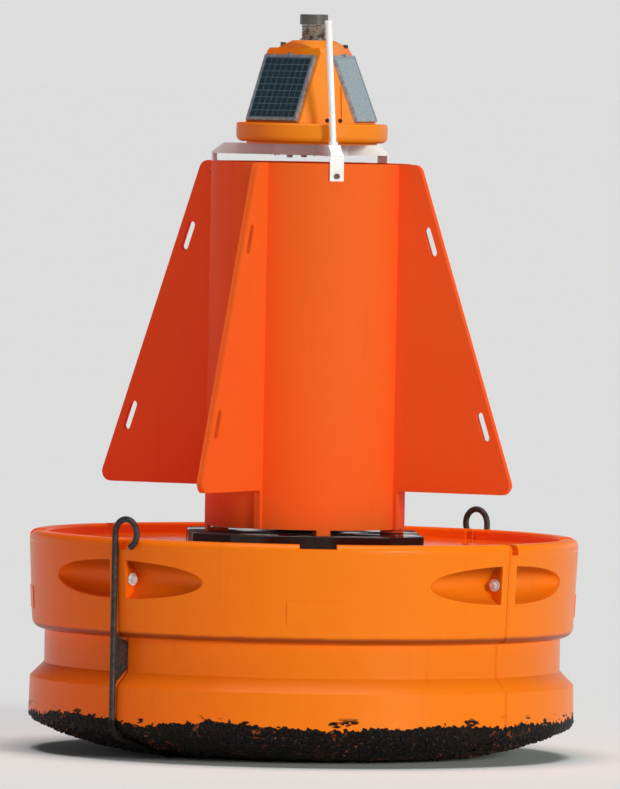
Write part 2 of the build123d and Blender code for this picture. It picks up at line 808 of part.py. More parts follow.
def solar_glass():
    """Pane that lies in the frame."""
    margin = 2 * (panel_border_width + seat_gap)
    pane = Pos(0, panel_length / 2) * Rectangle(panel_width - margin, panel_length - margin)
    low = panel_thickness - glass_thickness - glass_sink_depth
    return Pos(0, 0, low + seat_gap) * extrude(pane, glass_thickness)


def panel_clip():
    """Small clip over the frame's upper edge."""
    back = Pos(0, panel_length + seat_gap + clip_thickness / 2, panel_thickness / 2) * Box(
        clip_width, clip_thickness, panel_thickness + 2 * seat_gap)
    lip_length = clip_overlap_length + clip_thickness
    lip = Pos(0, panel_length + seat_gap + clip_thickness - lip_length / 2,
              panel_thickness + seat_gap + clip_thickness / 2) * Box(
        clip_width, lip_length, clip_thickness)
    return back + lip


for number in range(3):
    place = panel_plane(number)
    written(place * solar_frame(), f"solar_frame_{number + 1}")
    written(place * solar_glass(), f"solar_glass_{number + 1}")
written(Compound([panel_plane(number) * panel_clip() for number in range(3)]), "solar_clips")


# Lens, emitter, cap and the small fittings round them
def lantern_lens():
    """Clear drum, hollow from below, with ribs outside and a wider foot."""
    pitch = (lens_height - lens_foot_height) / lens_rib_count
    outline = [(0, 0), (lens_foot_radius, 0), (lens_foot_radius, lens_foot_height),
               (lens_radius, lens_foot_height)]
    for number in range(lens_rib_count):
        low = lens_foot_height + number * pitch
        outline.append((lens_radius - lens_rib_depth, low + pitch / 2))
        outline.append((lens_radius, low + pitch))
    outline.append((0, lens_height))
    body = revolve(Plane.XZ * make_face(Polyline(*outline, close=True)), Axis.Z)
    room = upright(lens_radius - lens_rib_depth - lens_wall_thickness, 0,
                   lens_height - lens_wall_thickness)
    return Pos(0, 0, lens_low) * (body - room)


def lantern_emitter():
    """Stack of lamps on the lantern's neck, under the lens."""
    foot = upright(emitter_foot_radius, lens_low, emitter_foot_height)
    return foot + upright(emitter_radius, lens_low + emitter_foot_height, emitter_height)


def lens_cap():
    """Cap that closes the lens."""
    cap = upright(cap_radius, lens_top + seat_gap, cap_height)
    return fillet(cap.edges().sort_by(Axis.Z)[-1], cap_fillet_radius)


def lens_latch():
    """Bent strip on the neck that holds the lens's foot."""
    inner = lens_foot_radius + seat_gap
    strip = Pos(0, -inner - latch_thickness / 2, lens_low + latch_height / 2) * Box(
        latch_width, latch_thickness, latch_height)
    foot = Pos(0, -inner - latch_foot_length / 2, lens_low + latch_thickness / 2) * Box(
        latch_width, latch_foot_length, latch_thickness)
    return turned(strip + foot, latch_angle)


knob = upright(knob_radius, crown_top + seat_gap, knob_height, knob_distance_radius)
fitting = upright(fitting_radius, crown_top + seat_gap, fitting_height, fitting_distance_radius)
written(lantern_lens(), "lantern_lens")
written(lantern_emitter(), "lantern_emitter")
written(lens_cap(), "lantern_cap")
written(lens_latch(), "lens_latch")
written(turned(knob, knob_angle), "lantern_vent")
written(turned(fitting, fitting_angle), "lantern_fitting")


# Pole on the front arm
def pole():
    """White pole on a foot, leaning a little, with a small cap."""
    foot = extrude(Circle(pole_foot_radius), pole_foot_height)
    shaft = Pos(0, 0, pole_foot_height / 2) * extrude(Circle(pole_radius), pole_height)
    cap = Pos(0, 0, pole_height) * extrude(Circle(pole_cap_radius), pole_cap_height)
    body = foot + Rot(0, -pole_lean_angle, 0) * (shaft + cap)
    return turned(Pos(0, -pole_distance_radius, arm_top + seat_gap) * body, arm_angle)


written(pole(), "pole")
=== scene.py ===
"""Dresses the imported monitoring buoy: finishes, growth, welds, screws, solar cells and lens."""

import logging
import math
from dataclasses import dataclass
from enum import Enum

import bmesh
import bpy
from mathutils import Euler, Matrix, Vector


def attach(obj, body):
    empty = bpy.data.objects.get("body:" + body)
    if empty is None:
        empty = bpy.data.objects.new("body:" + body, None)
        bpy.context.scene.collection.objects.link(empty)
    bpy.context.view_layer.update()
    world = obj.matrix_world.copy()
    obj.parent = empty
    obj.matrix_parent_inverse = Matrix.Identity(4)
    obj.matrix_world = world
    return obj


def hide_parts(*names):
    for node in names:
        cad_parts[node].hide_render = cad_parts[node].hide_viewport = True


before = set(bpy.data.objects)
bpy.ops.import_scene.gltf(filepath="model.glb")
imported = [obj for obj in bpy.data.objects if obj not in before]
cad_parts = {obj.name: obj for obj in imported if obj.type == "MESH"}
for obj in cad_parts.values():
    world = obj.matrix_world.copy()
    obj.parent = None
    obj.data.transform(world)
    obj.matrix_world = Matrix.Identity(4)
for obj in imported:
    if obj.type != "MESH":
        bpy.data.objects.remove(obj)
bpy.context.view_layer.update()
NODES: dict[str, bpy.types.Object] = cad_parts
log = logging.getLogger("buoy")

Pair = tuple[float, float]
Triple = tuple[float, float, float]
Colour = Triple
Socket = bpy.types.NodeSocket


def from_screen(red: int, green: int, blue: int) -> Colour:
    """Turns a screen colour into the linear colour that a shader takes.

    Args:
        red: Red from 0 to 255.
        green: Green from 0 to 255.
        blue: Blue from 0 to 255.

    Returns:
        The linear colour.
    """
    def channel(value: int) -> float:
        """Turns one channel from screen to linear."""
        share = value / 255
        return share / 12.92 if share <= 0.04045 else ((share + 0.055) / 1.055) ** 2.4
    return channel(red), channel(green), channel(blue)


def around(radius: float, angle_deg: float, height: float) -> Vector:
    """Gives a point by its distance from the axis, its direction and its height.

    Args:
        radius: How far from the buoy's axis, in metres.
        angle_deg: The direction, from the front towards +X.
        height: The height above the floor, in metres.

    Returns:
        The point.
    """
    angle = math.radians(angle_deg)
    return Vector((radius * math.sin(angle), -radius * math.cos(angle), height))


class Pattern(Enum):
    """The procedural patterns that the finishes are built from."""

    CLOUD = "ShaderNodeTexNoise"
    PEBBLE = "ShaderNodeTexVoronoi"


@dataclass(frozen=True)
class Patch:
    """A cloud pattern, and the two heights in it between which a patch fades in."""

    scale: float
    detail: float
    low: float
    high: float
    stretch: Triple | None = None
    turn: Triple = (0.0, 0.0, 0.0)


class Nodes:
    """Adds nodes to one tree and joins them."""

    tree: bpy.types.NodeTree

    def join(self, value: object, socket: Socket) -> None:
        """Links an output to a socket, or sets a plain value or colour on it.

        Args:
            value: An output, a number, a vector, a colour or a text.
            socket: The input that takes it.
        """
        if isinstance(value, bpy.types.NodeSocket):
            self.tree.links.new(value, socket)
        elif isinstance(value, tuple) and socket.type == "RGBA":
            socket.default_value = (*value, 1.0)
        else:
            socket.default_value = value

    def node(self, kind: str, **links: object) -> bpy.types.Node:
        """Adds a node and sets or links its inputs.

        Args:
            kind: The node's type.
            **links: What goes into each input, by name, with underscores for spaces.

        Returns:
            The node.
        """
        made = self.tree.nodes.new(kind)
        for name, value in links.items():
            self.join(value, made.inputs[name.replace("_", " ")])
        return made

    def sum_of(self, kind: str, first: object, second: object = 0.0) -> Socket:
        """Joins two values with one of the Math node's operations.

        Args:
            kind: The operation.
            first: A number or an output.
            second: A number or an output.

        Returns:
            The result's output.
        """
        node = self.tree.nodes.new("ShaderNodeMath")
        node.operation = kind
        self.join(first, node.inputs[0])
        self.join(second, node.inputs[1])
        return node.outputs["Value"]

    def plus(self, first: object, second: object) -> Socket:
        """Adds two values."""
        return self.sum_of("ADD", first, second)

    def less(self, first: object, second: object) -> Socket:
        """Takes the second value from the first."""
        return self.sum_of("SUBTRACT", first, second)

    def times(self, first: object, second: object) -> Socket:
        """Multiplies two values."""
        return self.sum_of("MULTIPLY", first, second)

    def most(self, first: object, second: object) -> Socket:
        """Gives the larger of two values."""
        return self.sum_of("MAXIMUM", first, second)


class Finish(Nodes):
    """Builds one node material step by step on Object coordinates."""

    def __init__(self, name: str) -> None:
        """Starts an empty material.

        Args:
            name: Name of the material.
        """
        self.material = bpy.data.materials.new(name)
        self.material.use_nodes = True
        self.tree = self.material.node_tree
        self.tree.nodes.clear()
        output = self.tree.nodes.new("ShaderNodeOutputMaterial")
        self.skin = self.tree.nodes.new("ShaderNodeBsdfPrincipled")
        self.tree.links.new(self.skin.outputs["BSDF"], output.inputs["Surface"])
        self.place = self.tree.nodes.new("ShaderNodeTexCoord").outputs["Object"]

    def fixed(self, **values: object) -> bpy.types.Material:
        """Sets the shader's own inputs and ends the material.

        Args:
            **values: What goes into each input, by name, with underscores for spaces.

        Returns:
            The material.
        """
        for name, value in values.items():
            self.join(value, self.skin.inputs[name.replace("_", " ")])
        return self.material

    def moved(self, stretch: Triple, turn: Triple = (0.0, 0.0, 0.0)) -> Socket:
        """Gives the object's coordinates, stretched along and turned about each axis."""
        node = self.node("ShaderNodeMapping", Vector=self.place, Scale=stretch, Rotation=turn)
        return node.outputs["Vector"]

    def grain(self, pattern: Pattern, scale: float, detail: float = 0.0,
              place: Socket | None = None) -> Socket:
        """Adds a pattern and gives its height from 0 to 1.

        Args:
            pattern: Which pattern.
            scale: Its scale, per metre.
            detail: How many finer layers a cloud has.
            place: The coordinates, or None for the object's own.

        Returns:
            The pattern's value output.
        """
        node = self.node(pattern.value, Vector=place or self.place, Scale=scale)
        if pattern is Pattern.PEBBLE:
            return node.outputs["Distance"]
        node.inputs["Detail"].default_value = detail
        return node.outputs["Fac"]

    def step(self, value: Socket, low: float, high: float) -> Socket:
        """Rises smoothly from 0 to 1 between two values.

        Args:
            value: The value that is compared.
            low: Where the result is 0.
            high: Where the result is 1.

        Returns:
            The result's output.
        """
        node = self.node("ShaderNodeMapRange", Value=value, From_Min=low, From_Max=high)
        node.interpolation_type = "SMOOTHSTEP"
        return node.outputs["Result"]

    def patchy(self, patch: Patch) -> Socket:
        """Gives 1 inside a pattern's patches and 0 between them.

        Args:
            patch: The pattern.

        Returns:
            The mask's output.
        """
        place = self.moved(patch.stretch, patch.turn) if patch.stretch else None
        cloud = self.grain(Pattern.CLOUD, patch.scale, patch.detail, place)
        return self.step(cloud, patch.low, patch.high)

    def mixed(self, share: object, first: object, second: object) -> Socket:
        """Mixes two colours.

        Args:
            share: 0 gives the first colour and 1 the second.
            first: A colour or an output.
            second: A colour or an output.

        Returns:
            The mixed colour.
        """
        node = self.tree.nodes.new("ShaderNodeMix")
        node.data_type = "RGBA"
        self.join(share, node.inputs[0])
        self.join(first, node.inputs[6])
        self.join(second, node.inputs[7])
        return node.outputs[2]

    def over(self, under: object, colour: Colour, mask: Socket, share: float) -> Socket:
        """Lays a colour over another where a mask is 1, at most to a share."""
        return self.mixed(self.times(mask, share), under, colour)

    def between(self, share: Socket, first: float, second: float) -> Socket:
        """Goes from the first number to the second as share goes from 0 to 1."""
        return self.node("ShaderNodeMapRange", Value=share, To_Min=first,
                         To_Max=second).outputs["Result"]

    def height(self) -> Socket:
        """Gives the height above the floor."""
        return self.node("ShaderNodeSeparateXYZ", Vector=self.place).outputs["Z"]

    def away_from(self, height: float) -> Socket:
        """Gives how far the surface is above or below a height."""
        return self.sum_of("ABSOLUTE", self.less(self.height(), height))

    def vector(self, kind: str, first: Socket) -> bpy.types.Node:
        """Adds a vector operation with its first input linked.

        Args:
            kind: The operation.
            first: The vector that it works on.

        Returns:
            The node.
        """
        node = self.tree.nodes.new("ShaderNodeVectorMath")
        node.operation = kind
        self.join(first, node.inputs[0])
        return node

    def level(self) -> Socket:
        """Gives the place with its height taken out."""
        return self.moved((1.0, 1.0, 0.0))

    def lit_side(self, angle_deg: float) -> Socket:
        """Gives 1 on the buoy's side that lies in a direction, falling to -1 on the far side.

        Args:
            angle_deg: The direction, from the front towards +X.

        Returns:
            The value's output.
        """
        outward = self.vector("NORMALIZE", self.level())
        node = self.vector("DOT_PRODUCT", outward.outputs["Vector"])
        node.inputs[1].default_value = around(1.0, angle_deg, 0.0)
        return node.outputs["Value"]

    def out_from_axis(self) -> Socket:
        """Gives the distance from the buoy's upright axis."""
        return self.vector("LENGTH", self.level()).outputs["Value"]

    def relief(self, height: Socket, depth: float, strength: float,
               under: Socket | None = None) -> Socket:
        """Adds a bump.

        Args:
            height: The bump's height from 0 to 1.
            depth: Its depth at 1, in metres.
            strength: How strongly it shows.
            under: The normal under it, or None for the plain surface.

        Returns:
            The normal's output.
        """
        node = self.node("ShaderNodeBump", Distance=depth, Strength=strength, Height=height)
        if under is not None:
            self.join(under, node.inputs["Normal"])
        return node.outputs["Normal"]


@dataclass
class Surface:
    """What a plastic skin is made of so far: its colour, roughness and normal."""

    colour: Socket
    rough: Socket
    normal: Socket


@dataclass(frozen=True)
class GrowthEdge:
    """The ragged upper edge that the painted growth and the clots share."""

    wander_scale: float = 4.2
    wander_detail: float = 2.0
    wander: float = 0.062
    ragged_scale: float = 60.0
    ragged_detail: float = 6.0
    ragged: float = 0.044

    @property
    def middle(self) -> float:
        """How much the two patterns take off the edge on average."""
        return (self.wander + self.ragged) / 2


EDGE = GrowthEdge()
GROWTH_PATCHES = Patch(5.0, 3.0, 0.50, 0.60)


@dataclass(frozen=True)
class HullShadeAndFilm:
    """Painted shade under the band's lip and in the tops of the finger recesses, and the wet film
    on the deck.
    """

    # Colour of the painted shade.
    colour: Colour = from_screen(104, 26, 16)
    lip_height: float = 0.408
    lip_reach: float = 0.013
    lip_uneven: float = 0.006
    lip_uneven_scale: float = 14.0
    lip_shade_share: float = 0.78
    recess_edge: float = 0.896
    recess_depth: float = 0.018
    recess_low: Pair = (0.592, 0.637)
    recess_top: Pair = (0.662, 0.657)
    recess_shade_share: float = 0.55
    deck_height: float = 0.685
    film: Pair = (0.001, 0.003)
    film_roughness: float = 0.35

    def lay(self, make: Finish, skin: Surface) -> None:
        """Lays the painted shade and the film on a skin.

        Args:
            make: The material that is being built.
            skin: The skin, which changes.
        """
        # Painted shade: a dark band under the band's lip, uneven along it.
        cloud = make.grain(Pattern.CLOUD, self.lip_uneven_scale, detail=4.0)
        near = make.less(make.away_from(self.lip_height), make.times(cloud, self.lip_uneven))
        painted_lip_shade = make.less(1.0, make.step(near, 0.0, self.lip_reach))
        skin.colour = make.over(skin.colour, self.colour, painted_lip_shade, self.lip_shade_share)
        # Painted shade in the upper part of each finger recess, darkest inside it.
        depth = make.less(self.recess_edge, make.out_from_axis())
        upper = make.times(make.step(make.height(), *self.recess_low),
                           make.step(make.height(), *self.recess_top))
        shade = make.times(make.step(depth, 0.0, self.recess_depth), upper)
        skin.colour = make.over(skin.colour, self.colour, shade, self.recess_shade_share)
        dry = make.step(make.away_from(self.deck_height), *self.film)
        skin.rough = make.times(skin.rough, make.between(dry, self.film_roughness, 1.0))


@dataclass(frozen=True)
class Fouling:
    """The growth that is painted below the waterline, with tufts above its edge."""

    waterline: float
    colour: Colour = from_screen(14, 9, 8)
    speck: Colour = from_screen(50, 38, 32)
    rind: Colour = from_screen(172, 78, 30)
    edge_blend: float = 0.0012
    tufts: Patch = Patch(1.0, 7.0, 0.60, 0.63, (15.0, 15.0, 44.0))
    tuft_band: Pair = (-0.034, -0.016)
    clot_scale: float = 95.0
    clot_rise: Pair = (0.15, 0.75)
    speck_share: float = 0.25
    rind_bits: Patch = Patch(44.0, 5.0, 0.58, 0.66)
    rind_share: float = 0.8
    roughness: float = 0.55
    lump_depth: float = 0.006
    lump_strength: float = 0.9

    def lay(self, make: Finish, skin: Surface) -> None:
        """Lays the growth on a skin.

        Args:
            make: The material that is being built.
            skin: The skin, which changes.
        """
        wander = make.grain(Pattern.CLOUD, EDGE.wander_scale, EDGE.wander_detail)
        ragged = make.grain(Pattern.CLOUD, EDGE.ragged_scale, EDGE.ragged_detail)
        edge = make.plus(make.times(wander, EDGE.wander), make.times(ragged, EDGE.ragged))
        under = make.less(self.waterline + EDGE.middle, make.height())
        wet = make.step(make.less(under, edge), -self.edge_blend, self.edge_blend)
        band = make.step(make.less(under, EDGE.middle), *self.tuft_band)
        wet = make.most(wet, make.times(make.patchy(self.tufts), band))
        clot = make.step(make.grain(Pattern.PEBBLE, self.clot_scale), *self.clot_rise)
        rind = make.times(make.patchy(self.rind_bits), make.patchy(GROWTH_PATCHES))
        weed = make.over(self.colour, self.speck, clot, self.speck_share)
        weed = make.over(weed, self.rind, rind, self.rind_share)
        skin.colour = make.mixed(wet, skin.colour, weed)
        skin.rough = make.most(skin.rough, make.times(wet, self.roughness))
        lumps = make.times(wet, make.plus(clot, ragged))
        skin.normal = make.relief(lumps, self.lump_depth, self.lump_strength, skin.normal)


@dataclass(frozen=True)
class MouldedPlastic:
    """Moulded plastic, a little wavy, with painted light making its lit side lighter and yellower,
    and runs and specks of grime.
    """

    name: str
    colour: Colour
    # The second colour is painted light: the lighter, yellower colour of the lit side.
    lit_colour: Colour
    grime: Colour = from_screen(120, 62, 30)
    grime_share: float = 0.35
    roughness: float = 0.34
    rougher: Pair = (-0.05, 0.10)
    gloss: float = 0.22
    # Painted light: the side at this angle is drawn lighter and yellower, fading in between the
    # next two values.
    lit_side_angle: float = 33.0
    lit_low: float = 0.20
    lit_high: float = 1.15
    cloud_scale: float = 2.3
    cloud_share: float = 0.5
    runs: Patch = Patch(1.0, 5.0, 0.55, 0.78, (34.0, 34.0, 1.6))
    run_patches: Patch = Patch(5.0, 3.0, 0.42, 0.72)
    specks: Patch = Patch(160.0, 2.0, 0.70, 0.78)
    wave_scale: float = 9.0
    wave_depth: float = 0.004
    wave_strength: float = 0.35
    peel_scale: float = 420.0
    peel_depth: float = 0.0004
    peel_strength: float = 0.30
    layers: tuple[HullShadeAndFilm | Fouling, ...] = ()

    def lit_side_and_grime(self, make: Finish, cloud: Socket) -> Socket:
        """Gives the plastic's colour with painted light on its lit side, and its grime.

        Args:
            make: The material that is being built.
            cloud: The pattern that makes the painted light uneven.

        Returns:
            The colour.
        """
        # Painted light: the side toward the given angle turns lighter and yellower, made uneven by
        # the cloud.
        lit_mask = make.plus(make.lit_side(self.lit_side_angle), make.times(cloud, self.cloud_share))
        skin = make.mixed(make.step(lit_mask, self.lit_low, self.lit_high), self.colour, self.lit_colour)
        streaks = make.times(make.patchy(self.runs), make.patchy(self.run_patches))
        skin = make.over(skin, self.grime, streaks, self.grime_share)
        return make.over(skin, self.grime, make.patchy(self.specks), self.grime_share)

    def made(self) -> bpy.types.Material:
        """Builds the material.

        Returns:
            The material, with what lies on the plastic.
        """
        make = Finish(self.name)
        cloud = make.grain(Pattern.CLOUD, self.cloud_scale, detail=4.0)
        waves = make.grain(Pattern.CLOUD, self.wave_scale, detail=2.0)
        pores = make.grain(Pattern.CLOUD, self.peel_scale, detail=2.0)
        wavy = make.relief(waves, self.wave_depth, self.wave_strength)
        normal = make.relief(pores, self.peel_depth, self.peel_strength, wavy)
        low, high = self.rougher
        rough = make.between(cloud, self.roughness + low, self.roughness + high)
        skin = Surface(self.lit_side_and_grime(make, cloud), rough, normal)
        for layer in self.layers:
            layer.lay(make, skin)
        return make.fixed(Base_Color=skin.colour, Roughness=skin.rough, Normal=skin.normal,
                          Specular_IOR_Level=self.gloss)


@dataclass(frozen=True)
class Weed:
    """Black weed with brown tufts, rusty patches and small shells, wet in places."""

    name: str = "growth"
    colour: Colour = from_screen(13, 9, 8)
    tuft: Colour = from_screen(58, 36, 24)
    rind: Colour = from_screen(178, 84, 34)
    shell: Colour = from_screen(150, 136, 118)
    tufts: Patch = Patch(70.0, 5.0, 0.50, 0.64)
    tuft_share: float = 0.6
    rind_bits: Patch = Patch(44.0, 5.0, 0.56, 0.64)
    rind_share: float = 0.8
    shells: Patch = Patch(120.0, 2.0, 0.68, 0.72)
    shell_share: float = 0.7
    drying: Patch = Patch(16.0, 3.0, 0.45, 0.60)
    wet: float = 0.28
    dry: float = 0.75
    gloss: float = 0.35

    def made(self) -> bpy.types.Material:
        """Builds the material.

        Returns:
            The material.
        """
        make = Finish(self.name)
        rind = make.times(make.patchy(self.rind_bits), make.patchy(GROWTH_PATCHES))
        skin = make.over(self.colour, self.tuft, make.patchy(self.tufts), self.tuft_share)
        skin = make.over(skin, self.rind, rind, self.rind_share)
        skin = make.over(skin, self.shell, make.patchy(self.shells), self.shell_share)
        rough = make.between(make.patchy(self.drying), self.wet, self.dry)
        return make.fixed(Base_Color=skin, Roughness=rough, Specular_IOR_Level=self.gloss)


@dataclass(frozen=True)
class WornMetal:
    """Steel with a spangled or dark skin, rust in patches, and growth below a waterline."""

    name: str
    colour: Colour
    second: Colour
    rust: Colour = from_screen(116, 62, 34)
    rust_share: float = 0.3
    rust_scale: float = 24.0
    rust_detail: float = 6.0
    rust_high: float = 0.78
    rust_roughness: float = 0.25
    roughness: float = 0.48
    rougher: Pair = (-0.06, 0.08)
    metallic: float = 0.85
    spangle_scale: float = 70.0
    spangle_rise: Pair = (0.1, 0.8)
    fine_scale: float = 300.0
    fine_depth: float = 0.0006
    fine_strength: float = 0.5
    waterline: float = 0.0
    fouling: Colour = from_screen(22, 17, 15)
    fouling_roughness: float = 0.7
    ragged_scale: float = 42.0
    ragged: float = 0.05
    edge_blend: float = 0.002

    @property
    def rust_low(self) -> float:
        """Where rust begins in its pattern: lower for more rust."""
        return 0.62 - self.rust_share * 0.4

    @property
    def rust_most(self) -> float:
        """How far rust covers the steel where it is thickest."""
        return min(1.0, self.rust_share * 2.2)

    def made(self) -> bpy.types.Material:
        """Builds the material.

        Returns:
            The material.
        """
        make = Finish(self.name)
        spangle = make.step(make.grain(Pattern.PEBBLE, self.spangle_scale), *self.spangle_rise)
        skin = make.mixed(spangle, self.colour, self.second)
        patches = Patch(self.rust_scale, self.rust_detail, self.rust_low, self.rust_high)
        rust = make.times(make.patchy(patches), self.rust_most)
        skin = make.mixed(rust, skin, self.rust)
        fine = make.grain(Pattern.CLOUD, self.fine_scale, detail=4.0)
        low, high = self.rougher
        rough = make.plus(make.between(fine, self.roughness + low, self.roughness + high),
                          make.times(rust, self.rust_roughness))
        if self.waterline > 0.0:
            ragged = make.grain(Pattern.CLOUD, self.ragged_scale, detail=6.0)
            edge = make.plus(make.times(ragged, self.ragged), self.waterline - self.ragged / 2)
            wet = make.step(make.less(edge, make.height()), -self.edge_blend, self.edge_blend)
            skin = make.mixed(wet, skin, self.fouling)
            rough = make.most(rough, make.times(wet, self.fouling_roughness))
        normal = make.relief(fine, self.fine_depth, self.fine_strength)
        return make.fixed(Base_Color=skin, Roughness=rough, Normal=normal, Metallic=self.metallic)


@dataclass(frozen=True)
class Paint:
    """Paint, black plastic or coated glass, scratched, stained and with a film of dust."""

    name: str
    colour: Colour
    stain: Colour
    stain_share: float = 0.3
    stain_scale: float = 12.0
    stain_rise: Pair = (0.52, 0.80)
    scratches: Patch = Patch(1.0, 4.0, 0.70, 0.76, (90.0, 6.0, 60.0), (0.0, 0.0, 0.6))
    roughness: float = 0.35
    smoother: float = 0.05
    rougher: float = 0.15
    wear_rise: Pair = (0.40, 0.60)
    fine_scale: float = 260.0
    fine_depth: float = 0.0004
    unevenness: float = 0.35
    coat: float = 0.0
    gloss: float = 0.5
    dust: float = 0.0
    dust_tint: Colour = from_screen(206, 236, 250)
    dust_roughness: float = 0.25

    def made(self) -> bpy.types.Material:
        """Builds the material.

        Returns:
            The material.
        """
        make = Finish(self.name)
        cloud = make.grain(Pattern.CLOUD, self.stain_scale, detail=5.0)
        stain = make.most(make.step(cloud, *self.stain_rise), make.patchy(self.scratches))
        skin = make.over(self.colour, self.stain, stain, self.stain_share)
        worn = make.step(cloud, *self.wear_rise)
        rough = make.between(worn, self.roughness - self.smoother, self.roughness + self.rougher)
        fine = make.grain(Pattern.CLOUD, self.fine_scale, detail=3.0)
        return make.fixed(Base_Color=skin, Roughness=rough,
                          Normal=make.relief(fine, self.fine_depth, self.unevenness),
                          Coat_Weight=self.coat, Specular_IOR_Level=self.gloss,
                          Sheen_Weight=self.dust, Sheen_Tint=self.dust_tint,
                          Sheen_Roughness=self.dust_roughness)


@dataclass(frozen=True)
class ClearPlastic:
    """Tinted clear plastic, stained in patches."""

    name: str
    colour: Colour
    stain: Colour = from_screen(120, 84, 80)
    stains: Patch = Patch(55.0, 4.0, 0.45, 0.62)
    see_through: float = 0.8
    roughness: float = 0.12
    bending: float = 1.49
    coat: float = 0.3

    def made(self) -> bpy.types.Material:
        """Builds the material.

        Returns:
            The material.
        """
        make = Finish(self.name)
        skin = make.mixed(make.patchy(self.stains), self.colour, self.stain)
        return make.fixed(Base_Color=skin, Roughness=self.roughness, IOR=self.bending,
                          Transmission_Weight=self.see_through, Coat_Weight=self.coat)


class NodeMesh(Nodes):
    """Builds one Geometry Nodes tree with named inputs and turns its result into a plain mesh."""

    def __init__(self, name: str) -> None:
        """Starts a tree with a mesh going in and a mesh coming out.

        Args:
            name: Name of the tree.
        """
        self.tree = bpy.data.node_groups.new(name, "GeometryNodeTree")
        for way in ("INPUT", "OUTPUT"):
            self.tree.interface.new_socket("Geometry", in_out=way,
                                           socket_type="NodeSocketGeometry")
        self.start = self.tree.nodes.new("NodeGroupInput")
        self.end = self.tree.nodes.new("NodeGroupOutput")
        self.names: dict[str, str] = {}

    def size(self, name: str, value: object, kind: str = "NodeSocketFloat") -> Socket:
        """Adds a named input.

        Args:
            name: Name of the input.
            value: What it holds until the modifier sets it.
            kind: Type of the socket.

        Returns:
            The input inside the tree.
        """
        socket = self.tree.interface.new_socket(name, in_out="INPUT", socket_type=kind)
        if value is not None:
            socket.default_value = value
        self.names[name] = socket.identifier
        return self.start.outputs[name]

    def same(self, value: Socket) -> Socket:
        """Gives a vector with one value along all three axes."""
        return self.node("ShaderNodeCombineXYZ", X=value, Y=value, Z=value).outputs["Vector"]

    def close(self, mesh: Socket) -> None:
        """Ends the tree in Realize Instances and Set Material.

        Args:
            mesh: The tree's result, with its instances.
        """
        finish = self.size("Finish", None, "NodeSocketMaterial")
        real = self.node("GeometryNodeRealizeInstances", Geometry=mesh)
        done = self.node("GeometryNodeSetMaterial", Geometry=real.outputs["Geometry"],
                         Material=finish)
        self.tree.links.new(done.outputs["Geometry"], self.end.inputs["Geometry"])

    def applied(self, piece: bpy.types.Object, **values: object) -> bpy.types.Object:
        """Runs the tree on a piece and keeps the result as its plain mesh.

        Args:
            piece: The object that the tree works on.
            **values: Inputs by name, with underscores for spaces.

        Returns:
            The same object with the new mesh and no modifier.
        """
        modifier = piece.modifiers.new("build", "NODES")
        modifier.node_group = self.tree
        for name, value in values.items():
            modifier[self.names[name.replace("_", " ")]] = value
        graph = bpy.context.evaluated_depsgraph_get()
        graph.update()
        mesh = bpy.data.meshes.new_from_object(piece.evaluated_get(graph))
        piece.modifiers.remove(modifier)
        old = piece.data
        piece.data = mesh
        bpy.data.meshes.remove(old)
        return piece


def linked(name: str, mesh: bpy.types.Mesh) -> bpy.types.Object:
    """Puts a mesh into the scene under a name.

    Args:
        name: Name of the object.
        mesh: Its mesh.

    Returns:
        The object.
    """
    piece = bpy.data.objects.new(name, mesh)
    bpy.context.scene.collection.objects.link(piece)
    return piece


def seated(piece: bpy.types.Object, smooth: bool = True) -> None:
    """Rides a piece on the buoy and reports it.

    Args:
        piece: The finished piece, with its material.
        smooth: Whether its faces are shaded smooth.
    """
    if smooth:
        piece.data.shade_smooth()
    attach(piece, "root")
    log.info("%s: %d faces", piece.name, len(piece.data.polygons))


def dressed(names: list[str], finish: bpy.types.Material) -> None:
    """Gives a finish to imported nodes.

    Args:
        names: The nodes' names, or how they begin.
        finish: The material.
    """
    for name, node in NODES.items():
        if any(name.startswith(start) for start in names):
            node.data.materials.clear()
            node.data.materials.append(finish)
            log.info("%s gets %s", name, finish.name)


def spun(profile: list[Pair], segments: int) -> bmesh.types.BMesh:
    """Turns a profile of radius and height round +Z into a closed body.

    Args:
        profile: Points from the lower end on the axis to the upper end on the axis.
        segments: How many steps go round.

    Returns:
        The body, with its faces outward.
    """
    shape = bmesh.new()
    rings = []
    turns = [2 * math.pi * number / segments for number in range(segments)]
    for radius, height in profile:
        around_ring = turns if radius > 0.0 else [0.0]
        rings.append([shape.verts.new((radius * math.cos(t), radius * math.sin(t), height))
                      for t in around_ring])
    for low, high in zip(rings, rings[1:]):
        for number in range(segments):
            after = (number + 1) % segments
            corners = [low[number % len(low)], low[after % len(low)],
                       high[after % len(high)], high[number % len(high)]]
            corners = list(dict.fromkeys(corners))
            if len(corners) > 2:
                shape.faces.new(corners)
    bmesh.ops.recalc_face_normals(shape, faces=shape.faces)
    return shape


def mesh_of(name: str, shape: bmesh.types.BMesh) -> bpy.types.Mesh:
    """Turns a body into a mesh.

    Args:
        name: Name of the mesh.
        shape: The body, which is used up.

    Returns:
        The mesh.
    """
    mesh = bpy.data.meshes.new(name)
    shape.to_mesh(mesh)
    shape.free()
    return mesh


def standing(side: Vector, up: Vector, out: Vector) -> Matrix:
    """Gives the turn that takes X, Y and Z to three directions."""
    return Matrix((side, up, out)).transposed().to_4x4()


def thirds(angle_deg: float) -> list[Matrix]:
    """Gives three turns about the upright axis, a third of a turn apart, from an angle on."""
    return [Matrix.Rotation(math.radians(angle_deg + 120 * number), 4, "Z") for number in range(3)]


